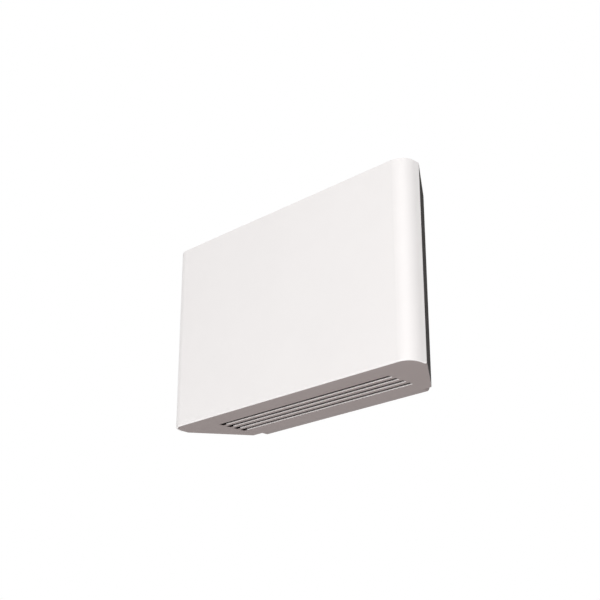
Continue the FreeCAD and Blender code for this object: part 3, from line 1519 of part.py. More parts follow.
def make_switch():
    width = "(switch_width + 2 * switch_wall)"
    length = "(switch_length + 2 * switch_wall)"
    case = block(
        "switch_case",
        (width, length, "switch_height + switch_bezel / 2"),
        (f"{SWITCH_X} - {width} / 2", f"{CONTROL_Y} - {length} / 2", f"{TOP} - switch_height"),
    )
    bezel_width = f"({width} + 2 * switch_rim)"
    bezel_length = f"({length} + 2 * switch_rim)"
    bezel = block(
        "switch_frame",
        (bezel_width, bezel_length, "switch_bezel"),
        (f"{SWITCH_X} - {bezel_width} / 2", f"{CONTROL_Y} - {bezel_length} / 2", TOP),
    )
    well = block(
        "switch_hollow",
        ("switch_width", "switch_length", "switch_well + switch_bezel * 2"),
        (f"{SWITCH_X} - switch_width / 2", f"{CONTROL_Y} - switch_length / 2", f"{TOP} - switch_well"),
    )
    pivot_z = f"({TOP} - rocker_sink)"
    pin_bore = rod(
        "pivot_hole",
        "rocker_pin_radius + shaft_clearance",
        width,
        (f"{SWITCH_X} - {width} / 2", CONTROL_Y, pivot_z),
        "X",
    )
    piece("switch_body", carved("switch", joined("switch_solid", case, bezel), well, pin_bore))

    rocker = body("rocker")
    half = "(switch_width / 2 - rocker_gap)"
    reach = "(switch_length / 2 - 2 * rocker_gap)"
    profile = outline(
        rocker,
        "rocker_profile",
        "YZ",
        [
            (f"-{reach}", "-rocker_valley"),
            ("0", "-rocker_drop"),
            (reach, "-rocker_valley"),
            (reach, "rocker_crown"),
            ("0", "rocker_valley"),
            (f"-{reach}", "rocker_crown"),
        ],
        f"-{half}",
    )
    pad(rocker, profile, f"2 * {half}")
    pin_half = "(switch_width / 2 + switch_wall - shaft_clearance)"
    pin = circles(rocker, "rocker_pin", "YZ", [("0", "0")], "rocker_pin_radius", f"-{pin_half}")
    pad(rocker, pin, f"2 * {pin_half}")
    spun(rocker, Vector(1, 0, 0), "rocker_tilt")
    piece("switch_rocker", put(rocker, SWITCH_X, CONTROL_Y, pivot_z))

    lens_y = f"({CONTROL_Y} - lens_offset)"
    stem = rod("lens_stem", "lens_radius", "lens_stem", (SWITCH_X, lens_y, f"{TOP} - lens_stem"))
    rim = rod("lens_rim", "lens_flange", "lens_flange_height", (SWITCH_X, lens_y, TOP))
    dome = doc.addObject("Part::Sphere", "lens_dome")
    dome.setExpression("Radius", cell("lens_radius"))
    put(dome, SWITCH_X, lens_y, f"{TOP} + lens_flange_height / 2")
    piece("indicator_lens", joined("lens", stem, rim, dome))


make_front_cover()
make_rear_housing()
make_outlet_plate()
make_outlet_louvre()
make_top_plate()
make_filter()
make_wall_bracket()
make_blower_casing()
make_impeller()
make_motor()
make_screws()
make_element()
make_supply()
make_thermostat()
make_timer()
make_switch()
doc.recompute()

for thing in doc.Objects:
    if any(state in ("Invalid", "Error") for state in thing.State):
        raise RuntimeError(f"{thing.Name} ({thing.Label}) failed")
for thing in parts:
    if thing.Shape.isNull() or not thing.Shape.isValid() or not thing.Shape.Solids:
        raise RuntimeError(f"{thing.Label} has no valid solid")

os.makedirs("parts", exist_ok=True)
for thing in parts:
    thing.Shape.exportStep(f"parts/{thing.Label}.step")
print(len(parts), "sub-parts written")
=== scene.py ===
import json
import math

import bmesh
import bpy
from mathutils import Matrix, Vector


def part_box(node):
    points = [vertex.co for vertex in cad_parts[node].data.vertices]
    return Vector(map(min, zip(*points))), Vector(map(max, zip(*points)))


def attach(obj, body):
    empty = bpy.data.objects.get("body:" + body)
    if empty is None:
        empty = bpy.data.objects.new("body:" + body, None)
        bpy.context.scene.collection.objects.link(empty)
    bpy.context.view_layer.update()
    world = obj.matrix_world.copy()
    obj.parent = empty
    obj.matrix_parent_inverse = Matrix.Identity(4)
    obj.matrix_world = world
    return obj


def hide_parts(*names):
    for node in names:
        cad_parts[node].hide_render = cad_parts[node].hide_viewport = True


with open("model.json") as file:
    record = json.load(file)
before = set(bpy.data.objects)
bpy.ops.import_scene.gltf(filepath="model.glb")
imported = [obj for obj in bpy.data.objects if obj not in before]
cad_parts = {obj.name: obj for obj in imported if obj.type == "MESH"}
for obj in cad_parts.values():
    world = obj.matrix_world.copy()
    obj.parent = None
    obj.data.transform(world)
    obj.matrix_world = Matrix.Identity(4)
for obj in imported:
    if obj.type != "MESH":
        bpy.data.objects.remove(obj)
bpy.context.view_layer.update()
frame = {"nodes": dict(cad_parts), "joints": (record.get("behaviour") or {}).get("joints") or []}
bpy.ops.object.select_all(action="DESELECT")


# Wall bracket
# A folded steel pan with two pressed beads, screwed to the wall, from which the heater hangs. It is powder
# coated in the grey of the underside, with the faint orange peel that such paint dries to.

BRACKET_GREYS = (0.226, 0.189, 0.183), (0.268, 0.226, 0.219)
PAINT_PEEL = 0.0022
PAINT_PEEL_HEIGHT = 0.00012
PAINT_CLOUD = 0.06


class Wire:
    """One value in a finish: sums on it add Math nodes, and node() adds a node of any other kind."""

    def __init__(self, socket):
        self.socket = socket

    def node(self, kind, settings=None, inputs=None, output=0):
        """A new node of this finish: its settings first, then the values or wires of its sockets."""
        tree = self.socket.id_data
        made = tree.nodes.new(kind)
        for name, value in (settings or {}).items():
            setattr(made, name, value)
        for name, value in (inputs or {}).items():
            if isinstance(value, Wire):
                tree.links.new(value.socket, made.inputs[name])
            else:
                made.inputs[name].default_value = value
        return Wire(made.outputs[output])

    def math(self, operation, first, second=0.0):
        return self.node("ShaderNodeMath", {"operation": operation}, {0: first, 1: second})

    def __add__(self, other):
        return self.math("ADD", self, other)

    def __radd__(self, other):
        return self.math("ADD", other, self)

    def __sub__(self, other):
        return self.math("SUBTRACT", self, other)

    def __rsub__(self, other):
        return self.math("SUBTRACT", other, self)

    def __mul__(self, other):
        return self.math("MULTIPLY", self, other)

    def __rmul__(self, other):
        return self.math("MULTIPLY", other, self)

    def noise(self, grain, detail=2.0, stretch=(1, 1, 1)):
        """Soft random spots as wide as the grain, in metres, and longer where the stretch is small."""
        spread = [part / grain for part in stretch]
        place = self.node("ShaderNodeMapping", inputs={"Vector": self, "Scale": spread})
        return place.node("ShaderNodeTexNoise", inputs={"Vector": place, "Scale": 1.0, "Detail": detail})

    def cells(self, grain, output="Distance"):
        """Random cells as wide as the grain, in metres: the way to each middle, or a colour for each."""
        inputs = {"Vector": self, "Scale": 1 / grain}
        return self.node("ShaderNodeTexVoronoi", inputs=inputs, output=output)

    def along(self, axis):
        """How far along one axis a place lies."""
        return self.node("ShaderNodeSeparateXYZ", inputs={"Vector": self}, output=axis)

    def blend(self, low, high):
        """A colour between two others, by this value."""
        return self.node("ShaderNodeMix", {"data_type": "RGBA"}, {0: self, 6: low, 7: high}, output=2)

    def tint(self, low, high):
        """A colour between two that are given as numbers, by this value."""
        return self.blend((*low, 1), (*high, 1))

    def relief(self, height):
        """The shading of a surface that this value raises by up to a height in metres."""
        return self.node("ShaderNodeBump", inputs={"Height": self, "Strength": 1.0, "Distance": height})


def new_finish(name, **constants):
    """An empty finish: the material, its shader with the constants set, and the place on the piece."""
    finish = bpy.data.materials.new(name)
    finish.use_nodes = True
    shader = finish.node_tree.nodes["Principled BSDF"]
    for socket, value in constants.items():
        shader.inputs[socket.replace("_", " ")].default_value = value
    coordinates = finish.node_tree.nodes.new("ShaderNodeTexCoord")
    return finish, shader, Wire(coordinates.outputs["Object"])


def feed(shader, **wires):
    """Lead wires into the shader's sockets."""
    for socket, wire in wires.items():
        shader.id_data.links.new(wire.socket, shader.inputs[socket.replace("_", " ")])


def dress(finish, *nodes):
    """Give CAD nodes their finish."""
    for node in nodes:
        for slot in frame["nodes"][node].material_slots:
            slot.material = finish


bracket_paint, shader, place = new_finish("bracket_paint")
peel = place.noise(PAINT_PEEL)
cloud = place.noise(PAINT_CLOUD)
feed(
    shader,
    Base_Color=(cloud * 0.7 + peel * 0.3).tint(*BRACKET_GREYS),
    Roughness=0.42 + 0.16 * peel,
    Normal=peel.relief(PAINT_PEEL_HEIGHT),
)
dress(bracket_paint, "wall_bracket")


# Rear housing
# The anthracite moulding that carries everything and hangs on the bracket. Its colour is set darker than the
# moulding's own, as painted shade on its sides. Its tool was spark-eroded, so an even, fine, matt grain
# covers it.

HOUSING_BLACKS_AND_SHADE = (0.023, 0.02, 0.019), (0.043, 0.038, 0.036)
HOUSING_GLOSS = 0.06
HOUSING_GRAIN = 0.0008
HOUSING_GRAIN_HEIGHT = 0.00006
HOUSING_CLOUD = 0.09

housing_plastic_and_shade, shader, place = new_finish("housing_plastic_and_shade", Specular_IOR_Level=HOUSING_GLOSS)
grain = place.cells(HOUSING_GRAIN)
cloud = place.noise(HOUSING_CLOUD)
# Base colour: the anthracite, darkened further as painted shade on the housing's sides.
feed(
    shader,
    Base_Color=(cloud * 0.5 + grain * 0.6).tint(*HOUSING_BLACKS_AND_SHADE),
    Roughness=0.7 + 0.2 * grain,
    Normal=grain.relief(HOUSING_GRAIN_HEIGHT),
)
dress(housing_plastic_and_shade, "rear_housing")


# Cable grommet and idler mount
# Soft black rubber mouldings: one lines the cable inlet, the other holds the fan's idle bearing. Rubber
# shows a faint grey bloom in patches.

RUBBER_BLACKS = (0.014, 0.014, 0.014), (0.04, 0.039, 0.038)
RUBBER_BLOOM = 0.006
RUBBER_SKIN = 0.0009
RUBBER_SKIN_HEIGHT = 0.00005

black_rubber, shader, place = new_finish("black_rubber")
bloom = place.noise(RUBBER_BLOOM, detail=3.0)
feed(
    shader,
    Base_Color=bloom.tint(*RUBBER_BLACKS),
    Roughness=0.6 + 0.25 * bloom,
    Normal=place.noise(RUBBER_SKIN).relief(RUBBER_SKIN_HEIGHT),
)
dress(black_rubber, "cable_grommet", "idler_mount")


# Terminal block
# A pale resin block on the back wall, in which the supply leads end. The flow of the resin into its mould
# leaves cloudy streaks along it.

TERMINAL_CREAMS = (0.62, 0.6, 0.55), (0.78, 0.77, 0.72)
TERMINAL_FLOW = 0.007
TERMINAL_SKIN = 0.0007
TERMINAL_SKIN_HEIGHT = 0.00003

terminal_resin, shader, place = new_finish("terminal_resin")
flow = place.noise(TERMINAL_FLOW, stretch=(0.3, 1, 1))
feed(
    shader,
    Base_Color=flow.tint(*TERMINAL_CREAMS),
    Roughness=0.4 + 0.2 * flow,
    Normal=place.noise(TERMINAL_SKIN).relief(TERMINAL_SKIN_HEIGHT),
)
dress(terminal_resin, "terminal_block")


# Blower casing and element bracket
# End plates, scroll, cut-off and bracket are cut and bent from galvanised sheet. The zinc froze in crystals
# as wide as a fingertip, each with its own grey and gloss.

ZINC_GREYS = (0.42, 0.43, 0.45), (0.66, 0.67, 0.68)
ZINC_CRYSTAL = 0.012
ZINC_SMEAR = 0.004

zinc_sheet, shader, place = new_finish("zinc_sheet", Metallic=1.0)
crystal = place.cells(ZINC_CRYSTAL, "Color").along("X")
smear = place.noise(ZINC_SMEAR)
feed(
    shader,
    Base_Color=(crystal * 0.8 + smear * 0.2).tint(*ZINC_GREYS),
    Roughness=0.3 + 0.18 * crystal + 0.08 * smear,
)
dress(zinc_sheet, "blower_end_left", "blower_end_right", "scroll_wall", "cutoff_wall", "element_support")


# Impeller
# The cross-flow wheel is moulded in black glass-filled plastic, in drums welded end to end. The fibres are
# seen as fine pale streaks along the blades.

WHEEL_BLACKS = (0.022, 0.022, 0.023), (0.06, 0.06, 0.06)
WHEEL_FIBRE = 0.0012
WHEEL_FIBRE_HEIGHT = 0.00003

wheel_plastic, shader, place = new_finish("wheel_plastic")
fibre = place.noise(WHEEL_FIBRE, stretch=(0.12, 1, 1))
feed(
    shader,
    Base_Color=fibre.tint(*WHEEL_BLACKS),
    Roughness=0.45 + 0.2 * fibre,
    Normal=fibre.relief(WHEEL_FIBRE_HEIGHT),
)
dress(wheel_plastic, "impeller")


# Shafts and spindles
# Bright ground bar: the two shafts of the wheel, and the spindles under the knobs. The grinding wheel
# leaves fine rings round the shafts.

BAR_GREYS = (0.5, 0.5, 0.5), (0.68, 0.67, 0.66)
BAR_RING = 0.0004
BAR_RING_HEIGHT = 0.00001
BAR_STAIN = 0.01

ground_steel, shader, place = new_finish("ground_steel", Metallic=1.0)
rings = place.noise(BAR_RING, detail=1.0, stretch=(1, 0.15, 0.15))
stain = place.noise(BAR_STAIN)
feed(
    shader,
    Base_Color=stain.tint(*BAR_GREYS),
    Roughness=0.18 + 0.22 * rings,
    Normal=rings.relief(BAR_RING_HEIGHT),
)
dress(ground_steel, "idler_shaft", "motor_shaft", "thermostat_spindle", "timer_spindle")


# Idler bush
# Sintered bronze in the rubber mount, pressed from powder and soaked in oil, so that it is dull and full of
# tiny pores.

BRONZE_BROWNS = (0.26, 0.16, 0.07), (0.62, 0.42, 0.2)
BRONZE_PORE = 0.0006
BRONZE_PORE_DEPTH = 0.00005

sintered_bronze, shader, place = new_finish("sintered_bronze", Metallic=1.0)
pores = place.cells(BRONZE_PORE)
feed(
    shader,
    Base_Color=pores.tint(*BRONZE_BROWNS),
    Roughness=0.4 + 0.25 * pores,
    Normal=pores.relief(BRONZE_PORE_DEPTH),
)
dress(sintered_bronze, "idler_bush")


# Motor core and rotor
# Stacks of half-millimetre steel stampings. Their edges make a pack of fine lines, with a little rust-brown
# varnish between them.

CORE_TONES = (0.09, 0.075, 0.065), (0.3, 0.3, 0.31)
LAMINATION = 0.0005
LAMINATION_HEIGHT = 0.00004
CORE_VARNISH = 0.008

core_steel, shader, place = new_finish("core_steel", Metallic=0.8)
wave = place.along("X") * (2 * math.pi / LAMINATION)
edge = wave.math("SINE", wave) * 0.5 + 0.5
varnish = place.noise(CORE_VARNISH)
feed(
    shader,
    Base_Color=(edge * 0.6 + varnish * 0.4).tint(*CORE_TONES),
    Roughness=0.35 + 0.25 * varnish,
    Normal=edge.relief(LAMINATION_HEIGHT),
)
dress(core_steel, "motor_core", "motor_rotor")


# Motor coil
# The winding is wrapped in yellow polyester tape, glossy and a little wrinkled. Each turn overlaps the one
# before it by half its width.

TAPE_YELLOWS = (0.36, 0.2, 0.03), (0.6, 0.4, 0.09)
TAPE_STEP = 0.006
TAPE_WRINKLE = 0.003
TAPE_HEIGHT = 0.00012

coil_tape, shader, place = new_finish("coil_tape", Coat_Weight=0.4, Coat_Roughness=0.2)
turns = place.along("Z") * (1 / TAPE_STEP)
lap = turns.math("FRACT", turns)
wrinkle = place.noise(TAPE_WRINKLE)
feed(
    shader,
    Base_Color=(lap * 0.6 + wrinkle * 0.4).tint(*TAPE_YELLOWS),
    Roughness=0.3 + 0.2 * wrinkle,
    Normal=(lap + wrinkle * 0.3).relief(TAPE_HEIGHT),
)
dress(coil_tape, "motor_coil")


# Motor bridges
# Small zinc castings, screwed to the core, that hold the rotor's bearings. The skin is grey and slightly
# grainy from the die.

CASTING_GREYS = (0.36, 0.36, 0.37), (0.58, 0.58, 0.58)
CASTING_SKIN = 0.0015
CASTING_SKIN_HEIGHT = 0.00006

cast_zinc, shader, place = new_finish("cast_zinc", Metallic=1.0)
skin = place.noise(CASTING_SKIN, detail=3.0)
feed(
    shader,
    Base_Color=skin.tint(*CASTING_GREYS),
    Roughness=0.42 + 0.2 * skin,
    Normal=skin.relief(CASTING_SKIN_HEIGHT),
)
dress(cast_zinc, "motor_bridge_inner", "motor_bridge_outer")


# Heating element
# A bent sheathed rod with pressed-on aluminium fins, in the duct under the blower. Heat has dulled the metal
# and browned it in bands.

ELEMENT_TONES = (0.62, 0.62, 0.62), (0.4, 0.33, 0.26)
ELEMENT_BAND = 0.03
ELEMENT_HAZE = 0.002

element_metal, shader, place = new_finish("element_metal", Metallic=1.0)
heat = place.noise(ELEMENT_BAND, stretch=(1, 0.5, 0.5))
haze = place.noise(ELEMENT_HAZE)
feed(
    shader,
    Base_Color=(heat * 1.6 - 0.3).tint(*ELEMENT_TONES),
    Roughness=0.3 + 0.25 * haze,
)
dress(element_metal, "heating_element")


# Element insulators
# White steatite collars that carry the rod through the sheet. They are fired and unglazed, with fine dark
# specks.

CERAMIC_WHITES = (0.5, 0.47, 0.42), (0.84, 0.82, 0.77)
CERAMIC_SPECK = 0.0012
CERAMIC_SKIN = 0.0008
CERAMIC_SKIN_HEIGHT = 0.00003

white_ceramic, shader, place = new_finish("white_ceramic")
specks = place.cells(CERAMIC_SPECK)
feed(
    shader,
    Base_Color=(specks * 3.0).tint(*CERAMIC_WHITES),
    Roughness=0.45 + 0.2 * specks,
    Normal=place.noise(CERAMIC_SKIN).relief(CERAMIC_SKIN_HEIGHT),
)
dress(white_ceramic, "element_insulators")


# Cut-out, thermostat, timer and switch bodies
# Black moulded cases of bought-in parts, with a fine matt grain. The switch's frame shows on the top plate,
# and the others stay inside.

CASE_BLACKS = (0.018, 0.018, 0.018), (0.045, 0.044, 0.043)
CASE_GRAIN = 0.0007
CASE_GRAIN_HEIGHT = 0.00003

black_resin, shader, place = new_finish("black_resin")
grain = place.noise(CASE_GRAIN)
feed(
    shader,
    Base_Color=grain.tint(*CASE_BLACKS),
    Roughness=0.38 + 0.2 * grain,
    Normal=grain.relief(CASE_GRAIN_HEIGHT),
)
dress(black_resin, "thermal_cutout", "thermostat_body", "timer_body", "switch_body")


# Outlet plate and top plate
# Taupe grey mouldings that close the casing below and above and snap into the housing. They are matt, with
# an even fine grain and faint streaks along the flow of the plastic.

TAUPES = (0.236, 0.195, 0.188), (0.279, 0.233, 0.225)
TAUPE_GRAIN = 0.0009
TAUPE_GRAIN_HEIGHT = 0.00004
TAUPE_FLOW = 0.02

taupe_plastic, shader, place = new_finish("taupe_plastic")
grain = place.noise(TAUPE_GRAIN)
flow = place.noise(TAUPE_FLOW, detail=3.0, stretch=(0.2, 1, 1))
feed(
    shader,
    Base_Color=(grain * 0.5 + flow * 0.5).tint(*TAUPES),
    Roughness=0.46 + 0.14 * grain,
    Normal=grain.relief(TAUPE_GRAIN_HEIGHT),
)
dress(taupe_plastic, "outlet_plate", "top_plate")


# Outlet louvre
# Dark vanes that hang in the outlet slots from cross webs, moulded in one. Their dark brown is painted
# shade, for the depth of the slots, and a white band along their lower edges is painted highlight, where
# light from below catches them. The warm air has left a thin film of dust on them, in streaks along the
# slots.

# White of the painted highlight on the vanes' lower edges, and brown of the painted shade above it.
PAINTED_HIGHLIGHT_WHITES = (0.86, 0.81, 0.795), (0.94, 0.893, 0.878)
PAINTED_HIGHLIGHT_HEIGHT = 0.0016
PAINTED_HIGHLIGHT_FADE = 0.0003
VANE_SHADE_BROWNS = (0.032, 0.024, 0.022), (0.056, 0.044, 0.041)
VANE_DUST = 0.008
VANE_GRAIN = 0.0008
VANE_GRAIN_HEIGHT = 0.00002
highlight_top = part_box("outlet_plate")[0].z + PAINTED_HIGHLIGHT_HEIGHT

vane_highlight_and_shade, shader, place = new_finish("vane_highlight_and_shade")
dust = place.noise(VANE_DUST, detail=3.0, stretch=(0.15, 1, 1))
grain = place.noise(VANE_GRAIN)
# Painted highlight below this height on the vanes, painted shade above it.
highlight_to_shade = (place.along("Z") - highlight_top) * (1 / PAINTED_HIGHLIGHT_FADE) + 0.5
highlight_colour = (dust * 0.8 + grain * 0.2).tint(*PAINTED_HIGHLIGHT_WHITES)
vane_shade_colour = grain.tint(*VANE_SHADE_BROWNS)
feed(
    shader,
    Base_Color=highlight_to_shade.blend(highlight_colour, vane_shade_colour),
    Roughness=0.36 + 0.2 * dust,
    Normal=grain.relief(VANE_GRAIN_HEIGHT),
)
dress(vane_highlight_and_shade, "outlet_louvre")


# Dial print
# Pale ink on the top plate round the two knobs: dots and numbers for the thermostat, minute strokes and
# numbers for the timer. It is printed by pad, so it lies a hair above the plastic.

PRINT = 0.00006
PRINT_ROUND = 0.6 * PRINT
PRINT_ROUND_STEPS = 2
DOT_RADIUS = 0.0006
DOT_SIDES = 20
DOT_RING = 0.0185
DOTS = 9
STROKE = (0.0016, 0.0005)
STROKE_RING = 0.0168
STROKES = 13
NUMBER_RING = 0.0217
NUMBER_SIZE = 0.00504
NUMBERS = 5
TIMER_NUMBERS = {"0": 0, "30": 0.5, "60": 1}
POINTER_REST = math.radians(225)
PALE_INKS = (0.66, 0.65, 0.63), (0.8, 0.79, 0.77)
INK_SCREEN = 0.0005
plate_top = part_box("top_plate")[1].z
joints = {joint["name"]: joint for joint in frame["joints"]}
thermostat = joints["thermostat_turn"]
timer = joints["timer_turn"]


def round_knob(joint, ring, share):
    """Where a ring round a knob meets its pointer after a share of the knob's turn, and the angle there."""
    turn = POINTER_REST - share * math.radians(joint["range_deg"][1])
    x, y, _ = joint["pos_m"]
    return (x + ring * math.cos(turn), y + ring * math.sin(turn), plate_top), turn


def apply_place(piece):
    """Move a piece's place, turn and scale into its mesh."""
    bpy.ops.object.select_all(action="DESELECT")
    piece.select_set(True)
    bpy.context.view_layer.objects.active = piece
    bpy.ops.object.transform_apply(location=True, rotation=True, scale=True)


def join_pieces(name, pieces):
    """Make one piece of several."""
    bpy.ops.object.select_all(action="DESELECT")
    for part in pieces:
        part.select_set(True)
    bpy.context.view_layer.objects.active = pieces[0]
    bpy.ops.object.join()
    pieces[0].name = name
    return pieces[0]


def round_print(piece):
    """Round the edges of a printed mark, as ink dries."""
    bevel = piece.modifiers.new("soft_edges", "BEVEL")
    bevel.width = PRINT_ROUND
    bevel.segments = PRINT_ROUND_STEPS
    bpy.context.view_layer.objects.active = piece
    bpy.ops.object.modifier_apply(modifier=bevel.name)


def paint(piece, finish):
    """Give a new piece its finish."""
    piece.data.materials.clear()
    piece.data.materials.append(finish)


def printed_dot(centre):
    bpy.ops.mesh.primitive_cylinder_add(
        vertices=DOT_SIDES, radius=DOT_RADIUS, depth=2 * PRINT, location=centre
    )
    dot = bpy.context.object
    apply_place(dot)
    round_print(dot)
    return dot


def printed_stroke(centre, turn, length, width):
    bpy.ops.mesh.primitive_cube_add(size=1, location=centre, rotation=(0, 0, turn))
    stroke = bpy.context.object
    stroke.scale = (length, width, 2 * PRINT)
    apply_place(stroke)
    round_print(stroke)
    return stroke


def printed_number(words, centre):
    bpy.ops.object.text_add(location=centre)
    number = bpy.context.object
    number.data.body = words
    number.data.size = NUMBER_SIZE
    number.data.align_x = "CENTER"
    number.data.align_y = "CENTER"
    number.data.extrude = PRINT
    bpy.ops.object.convert(target="MESH")
    apply_place(number)
    return number


marks = []
for step in range(NUMBERS):
    centre, _ = round_knob(thermostat, NUMBER_RING, step / (NUMBERS - 1))
    marks.append(printed_number(str(step + 1), centre))
for step in range(DOTS):
    centre, _ = round_knob(thermostat, DOT_RING, step / (DOTS - 1))
    marks.append(printed_dot(centre))
for step in range(STROKES):
    centre, turn = round_knob(timer, STROKE_RING, step / (STROKES - 1))
    marks.append(printed_stroke(centre, turn, *STROKE))
for words, share in TIMER_NUMBERS.items():
    centre, _ = round_knob(timer, NUMBER_RING, share)
    marks.append(printed_number(words, centre))
dial_print = join_pieces("dial_print", marks)

pale_ink, shader, place = new_finish("pale_ink")
screen = place.noise(INK_SCREEN)
feed(
    shader,
    Base_Color=screen.tint(*PALE_INKS),
    Roughness=0.4 + 0.2 * screen,
)
paint(dial_print, pale_ink)
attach(dial_print, "casing")


# Knobs and rocker
# White satin mouldings: the knobs are pushed on their spindles, and the switch's rocker sits on its pin.
# Fingers polish them, so the gloss is uneven.

KNOB_WHITES = (0.78, 0.765, 0.745), (0.85, 0.84, 0.825)
KNOB_TOUCH = 0.008
KNOB_GRAIN = 0.0006
KNOB_GRAIN_HEIGHT = 0.00002

knob_plastic, shader, place = new_finish("knob_plastic", Coat_Weight=0.15, Coat_Roughness=0.15)
touch = place.noise(KNOB_TOUCH, detail=3.0)
grain = place.noise(KNOB_GRAIN)
feed(
    shader,
    Base_Color=(touch * 0.7 + grain * 0.3).tint(*KNOB_WHITES),
    Roughness=0.26 + 0.2 * touch,
    Normal=grain.relief(KNOB_GRAIN_HEIGHT),
)
dress(knob_plastic, "thermostat_knob", "timer_knob", "switch_rocker")


# Knob pointers and rocker marks
# Dark ink in the floor of each knob's pointer groove, and a bar and a ring printed on the rocker's two
# slopes, which fall towards its middle.

DARK_INKS = (0.03, 0.03, 0.03), (0.07, 0.068, 0.066)
POINTER = (0.0086, 0.0012)
POINTER_MIDDLE = 0.009
GROOVE_DEPTH = 0.0008
ROCKER_REACH = 0.0079
ROCKER_RISE = 0.001
ROCKER_MIDDLE = 0.0012
ROCKER_TILT = math.radians(7)
MARK_OFFSET = 0.0045
BAR_MARK = (0.0006, 0.0028)
RING_MARK_RADIUS = 0.0015
RING_MARK_HOLE = 0.0009
RING_MARK_SIDES = 32

dark_ink, shader, place = new_finish("dark_ink")
screen = place.noise(INK_SCREEN)
feed(
    shader,
    Base_Color=screen.tint(*DARK_INKS),
    Roughness=0.4 + 0.2 * screen,
)

for name, knob, body, joint in (
    ("thermostat_pointer", "thermostat_knob", "thermostat_control", thermostat),
    ("timer_pointer", "timer_knob", "timer_control", timer),
):
    (x, y, _), turn = round_knob(joint, POINTER_MIDDLE, 0)
    pointer = printed_stroke((x, y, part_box(knob)[1].z - GROOVE_DEPTH), turn, *POINTER)
    pointer.name = name
    paint(pointer, dark_ink)
    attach(pointer, body)


def on_rocker(mark, side):
    """Lay a mark that is flat at the origin on one slope of the rocker: -1 in front, 1 behind."""
    mark.rotation_euler = (side * math.atan2(ROCKER_RISE, ROCKER_REACH), 0, 0)
    mark.location = (0, side * MARK_OFFSET, ROCKER_MIDDLE + ROCKER_RISE * MARK_OFFSET / ROCKER_REACH)
    apply_place(mark)
    mark.rotation_euler = (ROCKER_TILT, 0, 0)
    mark.location = joints["power_rock"]["pos_m"]
    apply_place(mark)


def carve(piece, cutter):
    """Cut one shape out of a piece."""
    cut = piece.modifiers.new("cut", "BOOLEAN")
    cut.object = cutter
    bpy.context.view_layer.objects.active = piece
    bpy.ops.object.modifier_apply(modifier=cut.name)
    bpy.data.objects.remove(cutter)


bar_mark = printed_stroke((0, 0, 0), 0, *BAR_MARK)
on_rocker(bar_mark, 1)
bpy.ops.mesh.primitive_cylinder_add(vertices=RING_MARK_SIDES, radius=RING_MARK_RADIUS, depth=2 * PRINT)
ring_mark = bpy.context.object
bpy.ops.mesh.primitive_cylinder_add(vertices=RING_MARK_SIDES, radius=RING_MARK_HOLE, depth=1)
ring_hole = bpy.context.object
carve(ring_mark, ring_hole)
on_rocker(ring_mark, -1)
rocker_marks = join_pieces("rocker_marks", [bar_mark, ring_mark])
paint(rocker_marks, dark_ink)
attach(rocker_marks, "power_rocker")


# Indicator lens
# A clear amber cap over the power lamp, moulded in acrylic and pressed into the top plate. The tint is a
# little uneven.

LENS_AMBERS = (0.75, 0.2, 0.015), (0.95, 0.36, 0.03)
LENS_SWIRL = 0.002

amber_lens, shader, place = new_finish("amber_lens", Transmission_Weight=0.45, IOR=1.49)
swirl = place.noise(LENS_SWIRL)
feed(
    shader,
    Base_Color=swirl.tint(*LENS_AMBERS),
    Roughness=0.08 + 0.12 * swirl,
)
dress(amber_lens, "indicator_lens")


# Filter cassette
# The lift-out frame is moulded like the plates. A mat of black open-cell foam lies in it, cut a little
# full, so that it swells up under the bars and its cut sides draw in between the corners.

FOAM_BLACKS = (0.008, 0.008, 0.009), (0.05, 0.05, 0.053)
FOAM_PORE = 0.0014
FOAM_FLUFF = 0.004
FOAM_HEIGHT = 0.0006
FOAM_STEPS = (96, 16)
FOAM_CROWN = 0.0006
FOAM_PULL = 0.0006
FOAM_EDGE = 8
FOAM_SMOOTH = math.radians(40)
foam_low, foam_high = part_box("filter_pad")
foam_middle = (foam_low + foam_high) / 2
foam_size = foam_high - foam_low

dress(taupe_plastic, "filter_frame")
bpy.ops.object.select_all(action="DESELECT")
bpy.ops.mesh.primitive_grid_add(
    x_subdivisions=FOAM_STEPS[0],
    y_subdivisions=FOAM_STEPS[1],
    size=1,
    location=(foam_middle.x, foam_middle.y, foam_low.z),
)
foam_mat = bpy.context.object
foam_mat.name = "foam_mat"
foam_mat.scale = (foam_size.x, foam_size.y, 1)
apply_place(foam_mat)
bpy.ops.object.mode_set(mode="EDIT")
bpy.ops.mesh.select_all(action="SELECT")
for _ in range(2):
    bpy.ops.mesh.extrude_region_move(TRANSFORM_OT_translate={"value": (0, 0, foam_size.z / 2)})
bpy.ops.mesh.select_all(action="SELECT")
bpy.ops.mesh.normals_make_consistent(inside=False)
bpy.ops.object.mode_set(mode="OBJECT")
for point in foam_mat.data.vertices:
    across = 2 * (point.co.x - foam_middle.x) / foam_size.x
    deep = 2 * (point.co.y - foam_middle.y) / foam_size.y
    up = (point.co.z - foam_low.z) / foam_size.z
    edge = max(abs(across), abs(deep)) ** FOAM_EDGE
    fall = 1 - (1 - across ** 2) * (1 - deep ** 2)
    point.co.z -= FOAM_CROWN * (up * fall + edge * (up - 0.5))
    point.co.x -= across * FOAM_PULL * (1 - deep ** 2)
    point.co.y -= deep * FOAM_PULL * (1 - across ** 2)
bpy.ops.object.shade_smooth_by_angle(angle=FOAM_SMOOTH)

filter_foam, shader, place = new_finish("filter_foam")
pores = place.cells(FOAM_PORE)
fluff = place.noise(FOAM_FLUFF)
feed(
    shader,
    Base_Color=(pores * 1.3).tint(*FOAM_BLACKS),
    Roughness=0.8 + 0.15 * fluff,
    Normal=(pores + fluff * 0.4).relief(FOAM_HEIGHT),
)
paint(foam_mat, filter_foam)
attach(foam_mat, "filter_cassette")
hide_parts("filter_pad")


# Front cover
# One white moulding with rounded sides that closes the front. It is glossy, with a very slight waviness, and
# held by screws from behind.

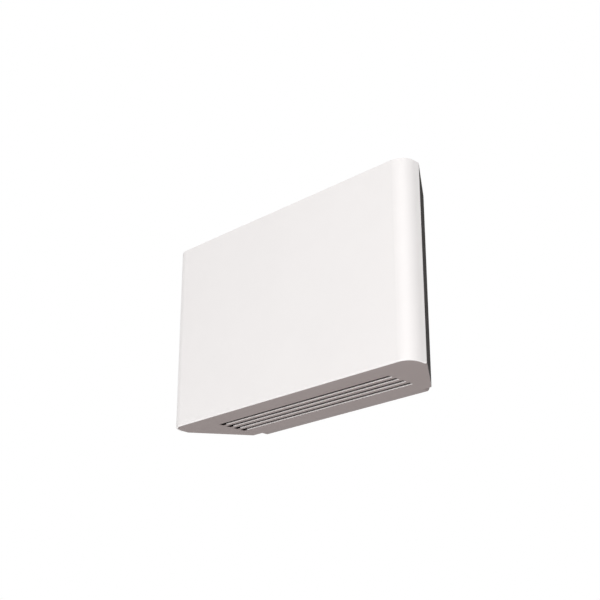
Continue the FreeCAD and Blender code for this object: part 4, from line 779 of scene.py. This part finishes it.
COVER_WHITES = (0.835, 0.808, 0.8), (0.885, 0.856, 0.848)
COVER_CLOUD = 0.16
COVER_WIPE = 0.025
COVER_WAVE = 0.004
COVER_WAVE_HEIGHT = 0.000008

cover_white, shader, place = new_finish("cover_white", Coat_Weight=0.25, Coat_Roughness=0.12)
cloud = place.noise(COVER_CLOUD)
wipe = place.noise(COVER_WIPE, detail=3.0)
wave = place.noise(COVER_WAVE)
feed(
    shader,
    Base_Color=(cloud * 0.7 + wipe * 0.3).tint(*COVER_WHITES),
    Roughness=0.27 + 0.06 * cloud,
    Normal=wave.relief(COVER_WAVE_HEIGHT),
)
dress(cover_white, "front_cover")


# Screws
# Zinc-plated pan heads with a cross recess and a cut thread. Four hold the cover from behind, four the
# blower, two the motor, and one locks the heater on its bracket.

PLATING_GREYS = (0.52, 0.51, 0.46), (0.68, 0.68, 0.68)
PLATING_STAIN = 0.003
PLATING_SCRATCH = 0.0006
HEAD_RADIUS = 0.0032
HEAD_HEIGHT = 0.0022
HEAD_SIDES = 32
HEAD_ROUND = 0.0009
HEAD_ROUND_STEPS = 4
SHANK_RADIUS = 0.0015
ROOT_RADIUS = 0.0012
THREAD_PITCH = 0.0011
RECESS = (0.0038, 0.0008, 0.0013)
RECESS_TAPER = 0.55
FACING = 0.9
SCREW_SMOOTH = math.radians(35)
X_AXIS, Y_AXIS, Z_AXIS = range(3)

plated_steel, shader, place = new_finish("plated_steel", Metallic=1.0)
stain = place.noise(PLATING_STAIN)
scratch = place.noise(PLATING_SCRATCH, detail=1.0, stretch=(0.2, 1, 1))
feed(
    shader,
    Base_Color=stain.tint(*PLATING_GREYS),
    Roughness=0.22 + 0.2 * scratch,
)


def select_faces(piece, wanted):
    """In edit mode, pick the faces that a test picks out."""
    bpy.ops.mesh.select_mode(type="FACE")
    bpy.ops.mesh.select_all(action="DESELECT")
    mesh = bmesh.from_edit_mesh(piece.data)
    for face in mesh.faces:
        face.select_set(wanted(face))
    bmesh.update_edit_mesh(piece.data)


def model_screw(length):
    """One screw on the Z axis, its head standing on the origin."""
    bpy.ops.mesh.primitive_cylinder_add(
        vertices=HEAD_SIDES, radius=HEAD_RADIUS, depth=HEAD_HEIGHT, location=(0, 0, HEAD_HEIGHT / 2)
    )
    screw = bpy.context.object
    apply_place(screw)
    bpy.ops.object.mode_set(mode="EDIT")
    select_faces(screw, lambda face: face.normal.z > FACING)
    bpy.ops.mesh.bevel(offset=HEAD_ROUND, segments=HEAD_ROUND_STEPS, affect="EDGES")
    select_faces(screw, lambda face: face.normal.z < -FACING)
    bpy.ops.mesh.inset(thickness=HEAD_RADIUS - SHANK_RADIUS)
    turns = round(length / THREAD_PITCH)
    half_turn = (0, 0, -length / turns / 2)
    for _ in range(turns):
        for scale in (ROOT_RADIUS / SHANK_RADIUS, SHANK_RADIUS / ROOT_RADIUS):
            bpy.ops.mesh.extrude_region_move(TRANSFORM_OT_translate={"value": half_turn})
            bpy.ops.transform.resize(value=(scale, scale, 1))
    bpy.ops.object.mode_set(mode="OBJECT")
    for quarter in (0, 1):
        bpy.ops.mesh.primitive_cube_add(size=1, rotation=(0, 0, quarter * math.pi / 2))
        blade = bpy.context.object
        blade.location = (0, 0, HEAD_HEIGHT)
        blade.scale = (RECESS[0], RECESS[1], 2 * RECESS[2])
        apply_place(blade)
        bpy.ops.object.mode_set(mode="EDIT")
        select_faces(blade, lambda face: face.normal.z < -FACING)
        bpy.ops.transform.resize(value=(RECESS_TAPER, RECESS_TAPER, 1))
        bpy.ops.object.mode_set(mode="OBJECT")
        carve(screw, blade)
    bpy.context.view_layer.objects.active = screw
    screw.select_set(True)
    bpy.ops.object.shade_smooth_by_angle(angle=SCREW_SMOOTH)
    return screw


def fit_screws(name, node, axis, head_side):
    """Put screws in a node's place, by its box. head_side is the way that the heads face along the axis."""
    low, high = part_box(node)
    across, up = [side for side in range(3) if side != axis]
    columns, rows = [
        sorted({round(low[side] + HEAD_RADIUS, 5), round(high[side] - HEAD_RADIUS, 5)})
        for side in (across, up)
    ]
    quarter = head_side * math.pi / 2
    turn = {X_AXIS: (0, quarter, 0), Y_AXIS: (-quarter, 0, 0), Z_AXIS: (0, 0, 0)}[axis]
    bpy.ops.object.select_all(action="DESELECT")
    pattern = model_screw(high[axis] - low[axis] - HEAD_HEIGHT)
    fitted = []
    for column in columns:
        for row in rows:
            screw = pattern.copy()
            screw.data = pattern.data.copy()
            bpy.context.collection.objects.link(screw)
            screw.rotation_euler = turn
            screw.location[across] = column
            screw.location[up] = row
            screw.location[axis] = high[axis] - HEAD_HEIGHT if head_side > 0 else low[axis] + HEAD_HEIGHT
            apply_place(screw)
            fitted.append(screw)
    bpy.data.objects.remove(pattern)
    whole = join_pieces(name, fitted)
    paint(whole, plated_steel)
    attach(whole, "casing")
    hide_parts(node)


fit_screws("cover_cross_screws", "cover_screws", Y_AXIS, 1)
fit_screws("blower_cross_screws", "blower_screws", Y_AXIS, -1)
fit_screws("motor_cross_screws", "motor_screws", X_AXIS, 1)
fit_screws("lock_cross_screw", "lock_screw", Z_AXIS, 1)


# Floor, light and camera
# A plain pale studio: a wide floor as far below as under a heater on a wall, an even white surround, a broad
# soft lamp on the right in front, a flat one on the floor and a weak one overhead, the only one that is
# mirrored in glossy pieces. The camera looks up from the right.

FLOOR_LEVEL = -1.9
FLOOR_SIZE = 160
FLOOR_GREYS = (0.8, 0.8, 0.8), (0.84, 0.84, 0.84)
FLOOR_MOTTLE = 0.4
BLACK = (0, 0, 0)
FLOOR_GLOW = (0.25, 0.25, 0.25)
SURROUND = 0.42
LAMPS = {
    "key_lamp": dict(spot=(2.8, -3.4, 1.1), aim=(0, 0, 0), width=3.6, power=104, mirrored=False),
    "low_lamp": dict(spot=(0.4, -1.3, -1.75), aim=(0.4, -1.3, 0), width=2.6, power=33.5, mirrored=False),
    "top_lamp": dict(spot=(0.1, -0.2, 2.1), aim=(0, 0, 0), width=1.6, power=12, mirrored=True),
}
EYE = (1.0654, -1.1518, -0.5868)
EYE_RISE = math.radians(21.57)
EYE_TURN = math.radians(44.88)
FOCAL_LENGTH = 72.0
SENSOR = 36


def seen_rays(tree):
    """1 for what the camera sees, straight or in metal and glass, and 0 for light that falls on things."""
    light_path = tree.nodes.new("ShaderNodeLightPath")
    seen = Wire(light_path.outputs["Is Camera Ray"])
    for ray in ("Is Glossy Ray", "Is Transmission Ray"):
        seen = seen.math("MAXIMUM", seen, Wire(light_path.outputs[ray]))
    return seen


bpy.ops.mesh.primitive_plane_add(size=FLOOR_SIZE, location=(0, 0, FLOOR_LEVEL))
floor = bpy.context.object
floor.name = "studio_floor"
floor_paint, shader, place = new_finish("floor_paint", Emission_Strength=1.0)
mottle = place.noise(FLOOR_MOTTLE)
feed(
    shader,
    Base_Color=mottle.tint(*FLOOR_GREYS),
    Roughness=0.7 + 0.1 * mottle,
    Emission_Color=seen_rays(floor_paint.node_tree).tint(BLACK, FLOOR_GLOW),
)
paint(floor, floor_paint)

scene = bpy.context.scene
if scene.world is None:
    scene.world = bpy.data.worlds.new("studio")
scene.world.use_nodes = True
surround = scene.world.node_tree.nodes["Background"]
surround.inputs["Color"].default_value = (1, 1, 1, 1)
feed(surround, Strength=SURROUND + (1 - SURROUND) * seen_rays(scene.world.node_tree))

for name, facts in LAMPS.items():
    bpy.ops.object.light_add(type="AREA", location=facts["spot"])
    lamp = bpy.context.object
    lamp.name = name
    lamp.data.size = facts["width"]
    lamp.data.energy = facts["power"]
    lamp.visible_camera = False
    lamp.visible_glossy = facts["mirrored"]
    lamp.rotation_euler = (Vector(facts["aim"]) - lamp.location).to_track_quat("-Z", "Y").to_euler()

bpy.ops.object.camera_add(location=EYE, rotation=(math.pi / 2 + EYE_RISE, 0, EYE_TURN))
camera = bpy.context.object
camera.data.lens = FOCAL_LENGTH
camera.data.sensor_width = SENSOR
scene.camera = camera
scene.view_settings.view_transform = "Standard"
